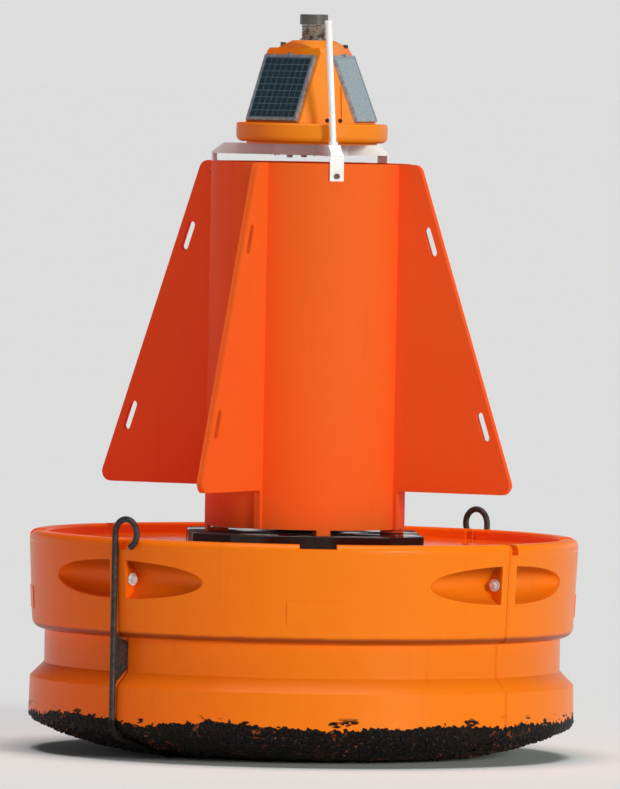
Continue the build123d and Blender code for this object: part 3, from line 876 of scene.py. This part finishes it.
class CopyTree(NodeMesh):
    """Sets a copy of one object on each point of a mesh, turned by the point's own angles."""

    def __init__(self) -> None:
        """Builds the tree."""
        super().__init__("copies_on_points")
        copy = self.size("Copy", None, "NodeSocketObject")
        scale = self.size("Scale", 1.0)
        turn = self.node("GeometryNodeInputNamedAttribute")
        turn.data_type = "FLOAT_VECTOR"
        self.join("turn", turn.inputs["Name"])
        info = self.node("GeometryNodeObjectInfo", Object=copy)
        points = self.node("GeometryNodeMeshToPoints", Mesh=self.start.outputs["Geometry"])
        rotation = self.node("FunctionNodeEulerToRotation", Euler=turn.outputs["Attribute"])
        spread = self.node("GeometryNodeInstanceOnPoints", Points=points.outputs["Points"],
                           Instance=info.outputs["Geometry"], Scale=self.same(scale),
                           Rotation=rotation.outputs["Rotation"])
        self.close(spread.outputs["Instances"])

    def set_on(self, name: str, copy: bmesh.types.BMesh, places: list[Matrix],
               finish: bpy.types.Material) -> bpy.types.Object:
        """Sets copies of a shape at places.

        Args:
            name: Name of the piece.
            copy: The shape, drawn at the origin with +Z outward.
            places: Where each copy goes.
            finish: The material.

        Returns:
            The piece.
        """
        source = linked("copy_source", mesh_of("copy_source", copy))
        mesh = bpy.data.meshes.new(name)
        mesh.from_pydata([place.translation for place in places], [], [])
        angles = mesh.attributes.new("turn", "FLOAT_VECTOR", "POINT")
        for number, place in enumerate(places):
            angles.data[number].vector = Vector(place.to_euler())
        piece = self.applied(linked(name, mesh), Copy=source, Scale=1.0, Finish=finish)
        bpy.data.objects.remove(source)
        return piece


class BeadTree(NodeMesh):
    """Lays a weld bead of overlapping drops along the edges of a mesh."""

    PITCH_SHARE = 0.9
    UNEVEN = 0.2
    SEED = 5

    def __init__(self) -> None:
        """Builds the tree."""
        super().__init__("weld_bead")
        radius = self.size("Radius", 0.004)
        pitch = self.size("Pitch", 0.003)
        uneven = self.size("Uneven", self.UNEVEN)
        seed = self.size("Seed", self.SEED, "NodeSocketInt")
        curve = self.node("GeometryNodeMeshToCurve", Mesh=self.start.outputs["Geometry"])
        even = self.node("GeometryNodeResampleCurve", Curve=curve.outputs["Curve"])
        even.mode = "LENGTH"
        self.join(pitch, even.inputs["Length"])
        drop = self.node("GeometryNodeMeshIcoSphere", Radius=radius, Subdivisions=2)
        chance = self.node("FunctionNodeRandomValue", Seed=seed)
        chance.data_type = "FLOAT"
        self.join(self.less(1.0, uneven), chance.inputs[2])
        self.join(self.plus(1.0, uneven), chance.inputs[3])
        spread = self.node("GeometryNodeInstanceOnPoints", Points=even.outputs["Curve"],
                           Instance=drop.outputs["Mesh"], Scale=chance.outputs[1])
        self.close(spread.outputs["Instances"])

    def laid(self, name: str, paths: list[list[Vector]], finish: bpy.types.Material,
             radius: float) -> bpy.types.Object:
        """Lays beads along paths.

        Args:
            name: Name of the piece.
            paths: Each path as its points.
            finish: The material.
            radius: Half the bead's width.

        Returns:
            The piece.
        """
        points: list[Vector] = []
        edges: list[tuple[int, int]] = []
        for path in paths:
            first = len(points)
            points.extend(path)
            edges.extend((first + n, first + n + 1) for n in range(len(path) - 1))
        mesh = bpy.data.meshes.new(name)
        mesh.from_pydata(points, edges, [])
        return self.applied(linked(name, mesh), Radius=radius, Pitch=radius * self.PITCH_SHARE,
                            Uneven=self.UNEVEN, Seed=self.SEED, Finish=finish)


class GrowthTree(NodeMesh):
    """Scatters small clots of growth over a skin of the hull, up to the ragged edge."""

    SEED = 11

    def __init__(self) -> None:
        """Builds the tree."""
        super().__init__("growth")
        density = self.size("Density", 2500.0)
        small = self.size("Smallest", 0.3)
        large = self.size("Largest", 1.0)
        radius = self.size("Radius", 0.006)
        line = self.size("Waterline", 0.13)
        seed = self.size("Seed", self.SEED, "NodeSocketInt")
        spread = self.node("GeometryNodeDistributePointsOnFaces",
                           Mesh=self.start.outputs["Geometry"], Seed=seed)
        self.join(density, spread.inputs["Density"])
        place = self.node("GeometryNodeInputPosition").outputs["Position"]
        height = self.node("ShaderNodeSeparateXYZ", Vector=place).outputs["Z"]
        dry = self.sum_of("GREATER_THAN", height, self.edge(place, line))
        kept = self.node("GeometryNodeDeleteGeometry", Geometry=spread.outputs["Points"],
                         Selection=dry)
        clot = self.node("GeometryNodeMeshIcoSphere", Radius=radius, Subdivisions=1)
        chance = self.node("FunctionNodeRandomValue", Seed=seed)
        chance.data_type = "FLOAT_VECTOR"
        self.join(self.same(small), chance.inputs[0])
        self.join(self.same(large), chance.inputs[1])
        copies = self.node("GeometryNodeInstanceOnPoints", Points=kept.outputs["Geometry"],
                           Instance=clot.outputs["Mesh"], Rotation=spread.outputs["Rotation"],
                           Scale=chance.outputs[0])
        self.close(copies.outputs["Instances"])

    def edge(self, place: Socket, line: Socket) -> Socket:
        """Gives the height of the growth's edge at a place.

        Args:
            place: The place.
            line: The waterline.

        Returns:
            The height, which follows the painted growth's edge.
        """
        wander = self.node("ShaderNodeTexNoise", Vector=place, Scale=EDGE.wander_scale,
                           Detail=EDGE.wander_detail).outputs["Fac"]
        ragged = self.node("ShaderNodeTexNoise", Vector=place, Scale=EDGE.ragged_scale,
                           Detail=EDGE.ragged_detail).outputs["Fac"]
        taken = self.plus(self.times(wander, EDGE.wander), self.times(ragged, EDGE.ragged))
        return self.less(self.plus(line, EDGE.middle), taken)


class TileTree(NodeMesh):
    """Lays a grid of thin tiles on a plane: solar cells, or the ribbons on them."""

    def __init__(self) -> None:
        """Builds the tree."""
        super().__init__("tiles")
        columns = self.size("Columns", 4, "NodeSocketInt")
        rows = self.size("Rows", 9, "NodeSocketInt")
        across = self.size("Grid across", 0.1)
        along = self.size("Grid along", 0.1)
        width = self.size("Width", 0.02)
        length = self.size("Length", 0.02)
        thick = self.size("Thickness", 0.0003)
        grid = self.node("GeometryNodeMeshGrid", Size_X=across, Size_Y=along,
                         Vertices_X=columns, Vertices_Y=rows)
        block = self.node("ShaderNodeCombineXYZ", X=width, Y=length, Z=thick)
        tile = self.node("GeometryNodeMeshCube", Size=block.outputs["Vector"])
        copies = self.node("GeometryNodeInstanceOnPoints", Points=grid.outputs["Mesh"],
                           Instance=tile.outputs["Mesh"])
        self.close(copies.outputs["Instances"])

    def laid(self, name: str, place: Matrix, finish: bpy.types.Material,
             **sizes: object) -> bpy.types.Object:
        """Lays one grid of tiles.

        Args:
            name: Name of the piece.
            place: The plane: X across, Y along, Z outward.
            finish: The material.
            **sizes: The tree's inputs by name, with underscores for spaces.

        Returns:
            The piece, with its place in its mesh.
        """
        piece = self.applied(linked(name, bpy.data.meshes.new(name)), Finish=finish, **sizes)
        piece.data.transform(place)
        return piece


@dataclass
class Hull:
    """The four float quadrants with their seam bolts and the growth at the waterline."""

    waterline: float = 0.134
    bottom_radius: float = 0.450
    bilge_height: float = 0.0985
    bilge_radius: float = 0.879
    bilge_rows: Triple = (0.020, 0.038, 0.064)
    side_radius: float = 0.8915
    side_heights: Pair = (0.115, 0.165)
    skin_steps: int = 96
    clot_radius: float = 0.0080
    clot_sizes: Pair = (0.15, 0.9)
    clot_clearance: float = 1.05
    clots_per_square_metre: float = 2900.0

    def dress(self) -> None:
        """Gives the quadrants and their bolts their finishes."""
        # The second colour is the painted light of the float's lit side; the first layer adds
        # painted shade under the lip and in the recesses.
        plastic = MouldedPlastic("float_orange", from_screen(250, 103, 12),
                                 from_screen(249, 126, 17), grime_share=0.13, roughness=0.28,
                                 gloss=0.12, layers=(HullShadeAndFilm(), Fouling(self.waterline)))
        dressed(["float_"], plastic.made())
        bolts = WornMetal("seam_bolt_steel", from_screen(236, 236, 238),
                          from_screen(206, 206, 210), rust_share=0.1, roughness=0.32, metallic=0.2)
        dressed(["seam_bolt"], bolts.made())

    def skin(self) -> bpy.types.Mesh:
        """Builds the part of the hull's skin that the growth sits on.

        Returns:
            A ring of faces from the rounded bilge to above the waterline.
        """
        reach = self.bilge_radius - self.bottom_radius
        bend = (reach ** 2 + self.bilge_height ** 2) / (2 * self.bilge_height)
        lowest = self.clot_radius * self.clot_clearance
        profile = []
        for height in (lowest, *self.bilge_rows, self.bilge_height):
            out = math.sqrt(bend ** 2 - (bend - height) ** 2)
            profile.append((self.bottom_radius + out, height))
        profile += [(self.side_radius, height) for height in self.side_heights]
        shape = bmesh.new()
        steps = self.skin_steps
        rings = [[shape.verts.new(around(radius, 360 * n / steps, height)) for n in range(steps)]
                 for radius, height in profile]
        for low, high in zip(rings, rings[1:]):
            for n in range(steps):
                after = (n + 1) % steps
                shape.faces.new([low[n], low[after], high[after], high[n]])
        return mesh_of("growth", shape)

    def build(self, tree: GrowthTree) -> None:
        """Dresses the hull and scatters the growth round it.

        Args:
            tree: The tree that scatters the growth.
        """
        self.dress()
        smallest, largest = self.clot_sizes
        piece = tree.applied(linked("growth", self.skin()), Density=self.clots_per_square_metre,
                             Smallest=smallest, Largest=largest, Radius=self.clot_radius,
                             Seed=tree.SEED, Waterline=self.waterline, Finish=Weed().made())
        seated(piece)


@dataclass
class SteelCore:
    """Tube, bottom plate, mooring bar and the lifting rods with their weld beads."""

    waterline: float = 0.134
    rod_circle: float = 0.9103
    rod_radius: float = 0.010
    rod_angles: Pair = (-45.0, 135.0)
    key_thickness: float = 0.010
    bead_heights: Pair = (0.252, 0.406)
    bead_seat: float = 0.86
    bead_radius: float = 0.0028

    def dress(self) -> bpy.types.Material:
        """Gives the steel its finishes.

        Returns:
            The rods' finish, for their welds.
        """
        zinc = WornMetal("galvanised", from_screen(150, 152, 152), from_screen(112, 114, 116),
                         rust_share=0.35, waterline=self.waterline)
        dressed(["bottom_plate", "core_tube", "plate_bolts", "mooring_bar"], zinc.made())
        rods = WornMetal("rod_steel", from_screen(74, 70, 70), from_screen(54, 50, 50),
                         metallic=0.6, roughness=0.55, waterline=self.waterline).made()
        dressed(["lifting_rod"], rods)
        return rods

    def build(self, beads: BeadTree) -> None:
        """Dresses the steel and lays the beads between each rod and its key plate.

        Args:
            beads: The tree that lays the beads.
        """
        finish = self.dress()
        reach = self.rod_circle - self.rod_radius * self.bead_seat
        half = self.key_thickness / 2
        paths = []
        for angle in self.rod_angles:
            turn = Matrix.Rotation(math.radians(angle), 4, "Z")
            paths += [[turn @ Vector((across, -reach, height)) for height in self.bead_heights]
                      for across in (-half, half)]
        seated(beads.laid("rod_welds", paths, finish, self.bead_radius))


@dataclass
class Daymark:
    """The finned tower, its black base and the bolts at its feet."""

    # Painted light: the tower's side at this angle is drawn lighter and yellower.
    lit_side_angle: float = 10.0
    lit_low: float = 0.60
    base_stain_scale: float = 5.0

    def build(self) -> None:
        """Dresses the tower and its base."""
        # The second colour is the painted light of the tower's lit side.
        plastic = MouldedPlastic("tower_orange", from_screen(251, 81, 38),
                                 from_screen(242, 101, 34), grime=from_screen(150, 54, 26),
                                 grime_share=0.12, roughness=0.58, gloss=0.08,
                                 lit_side_angle=self.lit_side_angle, lit_low=self.lit_low)
        dressed(["tower_panel"], plastic.made())
        base = Paint("base_black", from_screen(13, 9, 10), from_screen(62, 56, 58),
                     stain_scale=self.base_stain_scale, roughness=0.16, rougher=0.5, gloss=0.40)
        dressed(["tower_base"], base.made())
        bolts = WornMetal("tower_bolt_steel", from_screen(186, 180, 172),
                          from_screen(150, 146, 140), roughness=0.35, metallic=1.0)
        dressed(["tower_foot_bolts"], bolts.made())


@dataclass
class TopFrame:
    """The white lantern frame with its welds and its rusty bolts, and the white pole."""

    arm_angle: float = 11.5
    arm_width: float = 0.040
    arm_heights: Pair = (1.9613, 1.9973)
    hub_radius: float = 0.120
    tip_radius: float = 0.3343
    tip_lift: float = 0.002
    bead_radius: float = 0.0032

    def paths(self) -> list[list[Vector]]:
        """Finds the weld lines between the hub and the arms, and over the tabs.

        Returns:
            Each line as its points.
        """
        lines = []
        half = self.arm_width / 2
        reach = math.sqrt(self.hub_radius ** 2 - half ** 2)
        tip = self.arm_heights[0] + self.tip_lift
        for turn in thirds(self.arm_angle):
            lines += [[turn @ Vector((across, -reach, height)) for height in self.arm_heights]
                      for across in (-half, half)]
            lines.append([turn @ Vector((across, -self.tip_radius, tip))
                          for across in (-half, half)])
        return lines

    def build(self, beads: BeadTree) -> None:
        """Dresses the frame and the pole and lays the frame's beads.

        Args:
            beads: The tree that lays the beads.
        """
        white = Paint("frame_white", from_screen(254, 251, 250), from_screen(190, 160, 146),
                      stain_share=0.16, stain_scale=16.0, roughness=0.36).made()
        dressed(["lantern_frame", "pole"], white)
        rusty = WornMetal("rusty_bolt", from_screen(112, 88, 80), from_screen(78, 54, 46),
                          rust_share=0.8, rust_scale=60.0, roughness=0.5, metallic=0.4)
        dressed(["frame_tab_bolts"], rusty.made())
        zinc = WornMetal("lantern_bolt_zinc", from_screen(226, 220, 216),
                         from_screen(196, 188, 184), rust_share=0.15, roughness=0.45, metallic=0.3)
        dressed(["lantern_bolts"], zinc.made())
        seated(beads.laid("frame_welds", self.paths(), white, self.bead_radius))


@dataclass
class Lantern:
    """The lantern's orange housing and ring, with the screws on its webs."""

    web_angle: float = 10.7
    web_low_width: float = 0.201
    web_top_width: float = 0.159
    housing_height: float = 0.230
    housing_low: float = 2.0659
    screw_sides: Pair = (0.002, 0.046)
    screw_height: float = 0.011
    screw_radius: float = 0.0062
    screw_lift: float = 0.0003
    screw_segments: int = 12

    def screw_head(self) -> bmesh.types.BMesh:
        """Draws one domed screw head with a rim and a socket.

        Returns:
            The head at the origin, +Z outward.
        """
        radius = self.screw_radius
        profile = [(0.0, 0.0), (radius * 1.15, 0.0), (radius * 1.15, 0.0010), (radius, 0.0012),
                   (radius * 0.94, 0.0030), (radius * 0.70, 0.0042), (radius * 0.46, 0.0046),
                   (radius * 0.44, 0.0024), (0.0, 0.0020)]
        return spun(profile, self.screw_segments)

    def web_places(self) -> list[Matrix]:
        """Finds where the screws stand on the three webs.

        Returns:
            A matrix for each screw.
        """
        lean = math.atan2(self.web_low_width - self.web_top_width, self.housing_height)
        up = Vector((0, math.sin(lean), math.cos(lean)))
        out = Vector((0, -math.cos(lean), math.sin(lean)))
        corner = Vector((0, -self.web_low_width, self.housing_low))
        corner += up * self.screw_height + out * self.screw_lift
        local = standing(Vector((1, 0, 0)), up, out)
        return [turn @ Matrix.Translation(corner + Vector((side, 0, 0))) @ local
                for turn in thirds(self.web_angle) for side in self.screw_sides]

    def build(self, copies: CopyTree) -> None:
        """Dresses the lantern's body and sets the screws on its webs.

        Args:
            copies: The tree that sets the screws.
        """
        # The second colour is the painted light of the lantern's lit side.
        plastic = MouldedPlastic("lantern_orange", from_screen(249, 116, 14),
                                 from_screen(248, 137, 18), grime=from_screen(150, 74, 30),
                                 grime_share=0.12, roughness=0.40, gloss=0.20)
        dressed(["lantern_ring", "lantern_housing"], plastic.made())
        dark = WornMetal("screw_steel", from_screen(90, 66, 58), from_screen(60, 44, 40),
                         rust_share=0.5, rust_scale=80.0, roughness=0.45)
        screws = copies.set_on("web_screw_heads", self.screw_head(), self.web_places(), dark.made())
        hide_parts("web_screws")
        seated(screws)


@dataclass
class SolarPanels:
    """Three panels: frames, panes, cells and ribbons."""

    azimuths: Triple = (70.7, 190.7, 310.7)
    face_low_width: float = 0.180
    face_top_width: float = 0.092
    housing_height: float = 0.230
    cell_columns: int = 4
    cell_rows: int = 9
    cell_area_across: float = 0.211
    cell_area_along: float = 0.206
    cell_gap: float = 0.0024
    cell_lift: float = 0.0001
    cell_thickness: float = 0.0006
    ribbon_width: float = 0.0020
    ribbon_short: float = 0.004
    ribbon_lift: float = 0.0004
    ribbon_thickness: float = 0.0004
    dust: float = 0.7
    pane_unevenness: float = 0.04

    def plane(self, number: int) -> Matrix:
        """Finds the plane of one pane's outer face.

        Args:
            number: Which panel, from 0.

        Returns:
            X across, Y up the slope, Z outward, at the middle of the pane.
        """
        lean = math.atan2(self.face_low_width - self.face_top_width, self.housing_height)
        angle = math.radians(self.azimuths[number])
        out = Vector((math.sin(angle), -math.cos(angle), 0))
        side = Vector((math.cos(angle), math.sin(angle), 0))
        normal = out * math.cos(lean) + Vector((0, 0, math.sin(lean)))
        slope = Vector((0, 0, math.cos(lean))) - out * math.sin(lean)
        pane = NODES[f"solar_glass_{number + 1}"].data
        centre = sum((v.co for v in pane.vertices), Vector()) / len(pane.vertices)
        highest = max((v.co - centre).dot(normal) for v in pane.vertices)
        return Matrix.Translation(centre + normal * highest) @ standing(side, slope, normal)

    def dress(self) -> tuple[bpy.types.Material, bpy.types.Material]:
        """Gives the frames and the panes their finishes.

        Returns:
            The finishes of the cells and the ribbons.
        """
        aluminium = WornMetal("panel_frame", from_screen(176, 178, 186),
                              from_screen(146, 148, 156), rust_share=0.05, roughness=0.34,
                              metallic=0.45)
        dressed(["solar_frame", "solar_clip"], aluminium.made())
        backing = Paint("panel_backing", from_screen(96, 118, 130), from_screen(76, 94, 104),
                        stain_share=0.2, roughness=0.2, coat=0.8, dust=self.dust,
                        unevenness=self.pane_unevenness)
        dressed(["solar_glass"], backing.made())
        silicon = Paint("solar_cells", from_screen(24, 48, 60), from_screen(34, 62, 74),
                        stain_share=0.4, stain_scale=60.0, roughness=0.12, rougher=0.0, coat=1.0,
                        gloss=1.0, dust=self.dust, unevenness=self.pane_unevenness)
        silver = Paint("cell_ribbon", from_screen(92, 112, 124), from_screen(70, 88, 98),
                       roughness=0.2, coat=0.8)
        return silicon.made(), silver.made()

    def build(self, tiles: TileTree) -> None:
        """Dresses the panels and lays their cells and ribbons.

        Args:
            tiles: The tree that lays them.
        """
        silicon, silver = self.dress()
        pitch_across = self.cell_area_across / self.cell_columns
        pitch_along = self.cell_area_along / self.cell_rows
        grid_across = pitch_across * (self.cell_columns - 1)
        for number in range(3):
            place = self.plane(number)
            cells = tiles.laid(f"solar_cells_{number + 1}",
                               place @ Matrix.Translation((0, 0, self.cell_lift)), silicon,
                               Columns=self.cell_columns, Rows=self.cell_rows,
                               Grid_across=grid_across,
                               Grid_along=pitch_along * (self.cell_rows - 1),
                               Width=pitch_across - self.cell_gap,
                               Length=pitch_along - self.cell_gap, Thickness=self.cell_thickness)
            seated(cells, smooth=False)
            ribbons = tiles.laid(f"cell_ribbons_{number + 1}",
                                 place @ Matrix.Translation((0, 0, self.ribbon_lift)), silver,
                                 Columns=self.cell_columns, Rows=1, Grid_across=grid_across,
                                 Grid_along=0.0, Width=self.ribbon_width,
                                 Length=self.cell_area_along - self.ribbon_short,
                                 Thickness=self.ribbon_thickness)
            seated(ribbons, smooth=False)


@dataclass
class LensStack:
    """The lens with its cap, lamps and small fittings."""

    lens_low: float = 2.3359
    lamp_rings: int = 3
    lamps_per_ring: int = 10
    lamp_circle: float = 0.0112
    lamp_low: float = 0.013
    lamp_pitch: float = 0.011
    lamp_segments: int = 10

    def lamp(self) -> bmesh.types.BMesh:
        """Draws one small domed lamp.

        Returns:
            The lamp at the origin, +Z outward.
        """
        profile = [(0.0, 0.0), (0.0026, 0.0), (0.0026, 0.0014), (0.0021, 0.0030),
                   (0.0011, 0.0040), (0.0, 0.0043)]
        return spun(profile, self.lamp_segments)

    def lamp_places(self) -> list[Matrix]:
        """Finds where the lamps stand round the stack under the lens.

        Returns:
            A matrix for each lamp.
        """
        places = []
        up = Vector((0, 0, 1))
        for ring in range(self.lamp_rings):
            height = self.lens_low + self.lamp_low + self.lamp_pitch * ring
            for number in range(self.lamps_per_ring):
                angle = 360 * (number + 0.5 * (ring % 2)) / self.lamps_per_ring
                out = around(1.0, angle, 0.0)
                places.append(Matrix.Translation(around(self.lamp_circle, angle, height))
                              @ standing(up.cross(out), up, out))
        return places

    def build(self, copies: CopyTree) -> None:
        """Dresses the lens and what is round it, and sets the lamps.

        Args:
            copies: The tree that sets the lamps.
        """
        clear = ClearPlastic("lens_clear", from_screen(196, 190, 180), see_through=0.62)
        dressed(["lantern_lens"], clear.made())
        grey = Paint("cap_grey", from_screen(84, 82, 80), from_screen(130, 112, 104),
                     stain_share=0.5, stain_scale=40.0, roughness=0.4)
        dressed(["lantern_cap", "lantern_fitting"], grey.made())
        black = Paint("black_plastic", from_screen(16, 15, 16), from_screen(44, 40, 40),
                      roughness=0.45)
        dressed(["lantern_vent", "lantern_emitter"], black.made())
        strap = WornMetal("latch_steel", from_screen(190, 178, 172), from_screen(150, 130, 120),
                          rust_share=0.45, rust_scale=90.0, roughness=0.35)
        dressed(["lens_latch"], strap.made())
        red = ClearPlastic("lamp_red", from_screen(170, 30, 26), see_through=0.3, roughness=0.2)
        lamps = copies.set_on("lamps", self.lamp(), self.lamp_places(), red.made())
        seated(lamps)


@dataclass(frozen=True)
class SoftLamp:
    """A wide, distant, soft lamp."""

    name: str
    azimuth_deg: float
    height_deg: float
    power: float
    softness_deg: float
    tint: Colour = (1.0, 1.0, 1.0)
    distance: float = 8.0

    def hang(self) -> None:
        """Hangs the lamp, aimed at the buoy."""
        lamp = bpy.data.lights.new(self.name, "SUN")
        lamp.energy = self.power
        lamp.color = self.tint
        lamp.angle = math.radians(self.softness_deg)
        holder = bpy.data.objects.new(self.name, lamp)
        lift = math.radians(self.height_deg)
        holder.location = around(self.distance * math.cos(lift), self.azimuth_deg,
                                 self.distance * math.sin(lift))
        holder.rotation_euler = (-holder.location).to_track_quat("-Z", "Y").to_euler()
        bpy.context.scene.collection.objects.link(holder)


@dataclass
class Studio:
    """Pale floor, soft light and the camera of the photograph."""

    distance: float = 39.35
    height: float = 2.309
    azimuth_deg: float = -3.0
    roll_deg: float = 1.1
    lens: float = 547.5
    sensor_width: float = 36.0
    clip: Pair = (1.0, 2000.0)
    side: float = 0.010
    aim_height: float = 1.176
    floor_radius: float = 600.0
    floor_segments: int = 96
    floor_pale: Colour = (0.84, 0.84, 0.84)
    floor_uneven: float = 0.01
    floor_cloud_scale: float = 0.6
    floor_roughness: float = 0.9
    floor_gloss: float = 0.1
    lamps: tuple[SoftLamp, ...] = (
        SoftLamp("key", 38.0, 14.0, 1.51, 14.0, (1.0, 1.06, 0.96)),
        SoftLamp("rim", 148.0, 11.0, 0.085, 30.0, (0.62, 0.90, 1.0)),
        SoftLamp("top", 30.0, 86.0, 2.08, 40.0))
    sky_low: float = 0.725
    sky_high: float = 0.06
    sky_low_end: float = 0.05
    sky_high_start: float = 0.35

    def floor(self) -> None:
        """Lays the floor, which isn't part of the buoy."""
        shape = bmesh.new()
        bmesh.ops.create_circle(shape, cap_ends=True, segments=self.floor_segments,
                                radius=self.floor_radius)
        piece = linked("floor", mesh_of("floor", shape))
        make = Finish("floor_pale")
        cloud = make.grain(Pattern.CLOUD, self.floor_cloud_scale, detail=2.0)
        lighter = tuple(value + self.floor_uneven for value in self.floor_pale)
        finish = make.fixed(Base_Color=make.mixed(cloud, self.floor_pale, lighter),
                            Roughness=self.floor_roughness, Specular_IOR_Level=self.floor_gloss)
        piece.data.materials.append(finish)

    def light(self) -> None:
        """Hangs the lamps and sets a sky that is palest at the horizon."""
        for lamp in self.lamps:
            lamp.hang()
        world = bpy.data.worlds.new("sky")
        world.use_nodes = True
        tree = world.node_tree
        split = tree.nodes.new("ShaderNodeSeparateXYZ")
        tree.links.new(tree.nodes.new("ShaderNodeTexCoord").outputs["Generated"],
                       split.inputs["Vector"])
        rise = tree.nodes.new("ShaderNodeMapRange")
        rise.interpolation_type = "SMOOTHSTEP"
        tree.links.new(split.outputs["Z"], rise.inputs["Value"])
        for name, value in (("From Min", self.sky_low_end), ("From Max", self.sky_high_start),
                            ("To Min", self.sky_low), ("To Max", self.sky_high)):
            rise.inputs[name].default_value = value
        tree.links.new(rise.outputs["Result"], tree.nodes["Background"].inputs["Strength"])
        tree.nodes["Background"].inputs["Color"].default_value = (1.0, 1.0, 1.0, 1.0)
        bpy.context.scene.world = world
        bpy.context.scene.view_settings.view_transform = "Standard"

    def look(self) -> None:
        """Sets the camera at the photograph's angle."""
        camera = bpy.data.cameras.new("photo_camera")
        camera.lens = self.lens
        camera.sensor_width = self.sensor_width
        camera.clip_start, camera.clip_end = self.clip
        angle = math.radians(self.azimuth_deg)
        right = Vector((math.cos(angle), math.sin(angle), 0))
        back = Vector((math.sin(angle), -math.cos(angle), 0))
        holder = bpy.data.objects.new("photo_camera", camera)
        holder.location = back * self.distance + right * self.side + Vector((0, 0, self.height))
        aim = Vector((0, 0, self.aim_height)) + right * self.side
        facing = (aim - holder.location).to_track_quat("-Z", "Y")
        roll = Euler((0, 0, math.radians(self.roll_deg))).to_quaternion()
        holder.rotation_mode = "QUATERNION"
        holder.rotation_quaternion = facing @ roll
        bpy.context.scene.collection.objects.link(holder)
        bpy.context.scene.camera = holder

    def build(self) -> None:
        """Sets up the studio."""
        self.look()
        self.floor()
        self.light()


def main() -> None:
    """Builds each sub-assembly in order."""
    logging.basicConfig(level=logging.INFO, format="%(name)s %(message)s")
    Studio().build()
    copies, beads, tiles, growth = CopyTree(), BeadTree(), TileTree(), GrowthTree()
    Hull().build(growth)
    SteelCore().build(beads)
    Daymark().build()
    TopFrame().build(beads)
    Lantern().build(copies)
    SolarPanels().build(tiles)
    LensStack().build(copies)


if __name__ == "__main__":
    main()
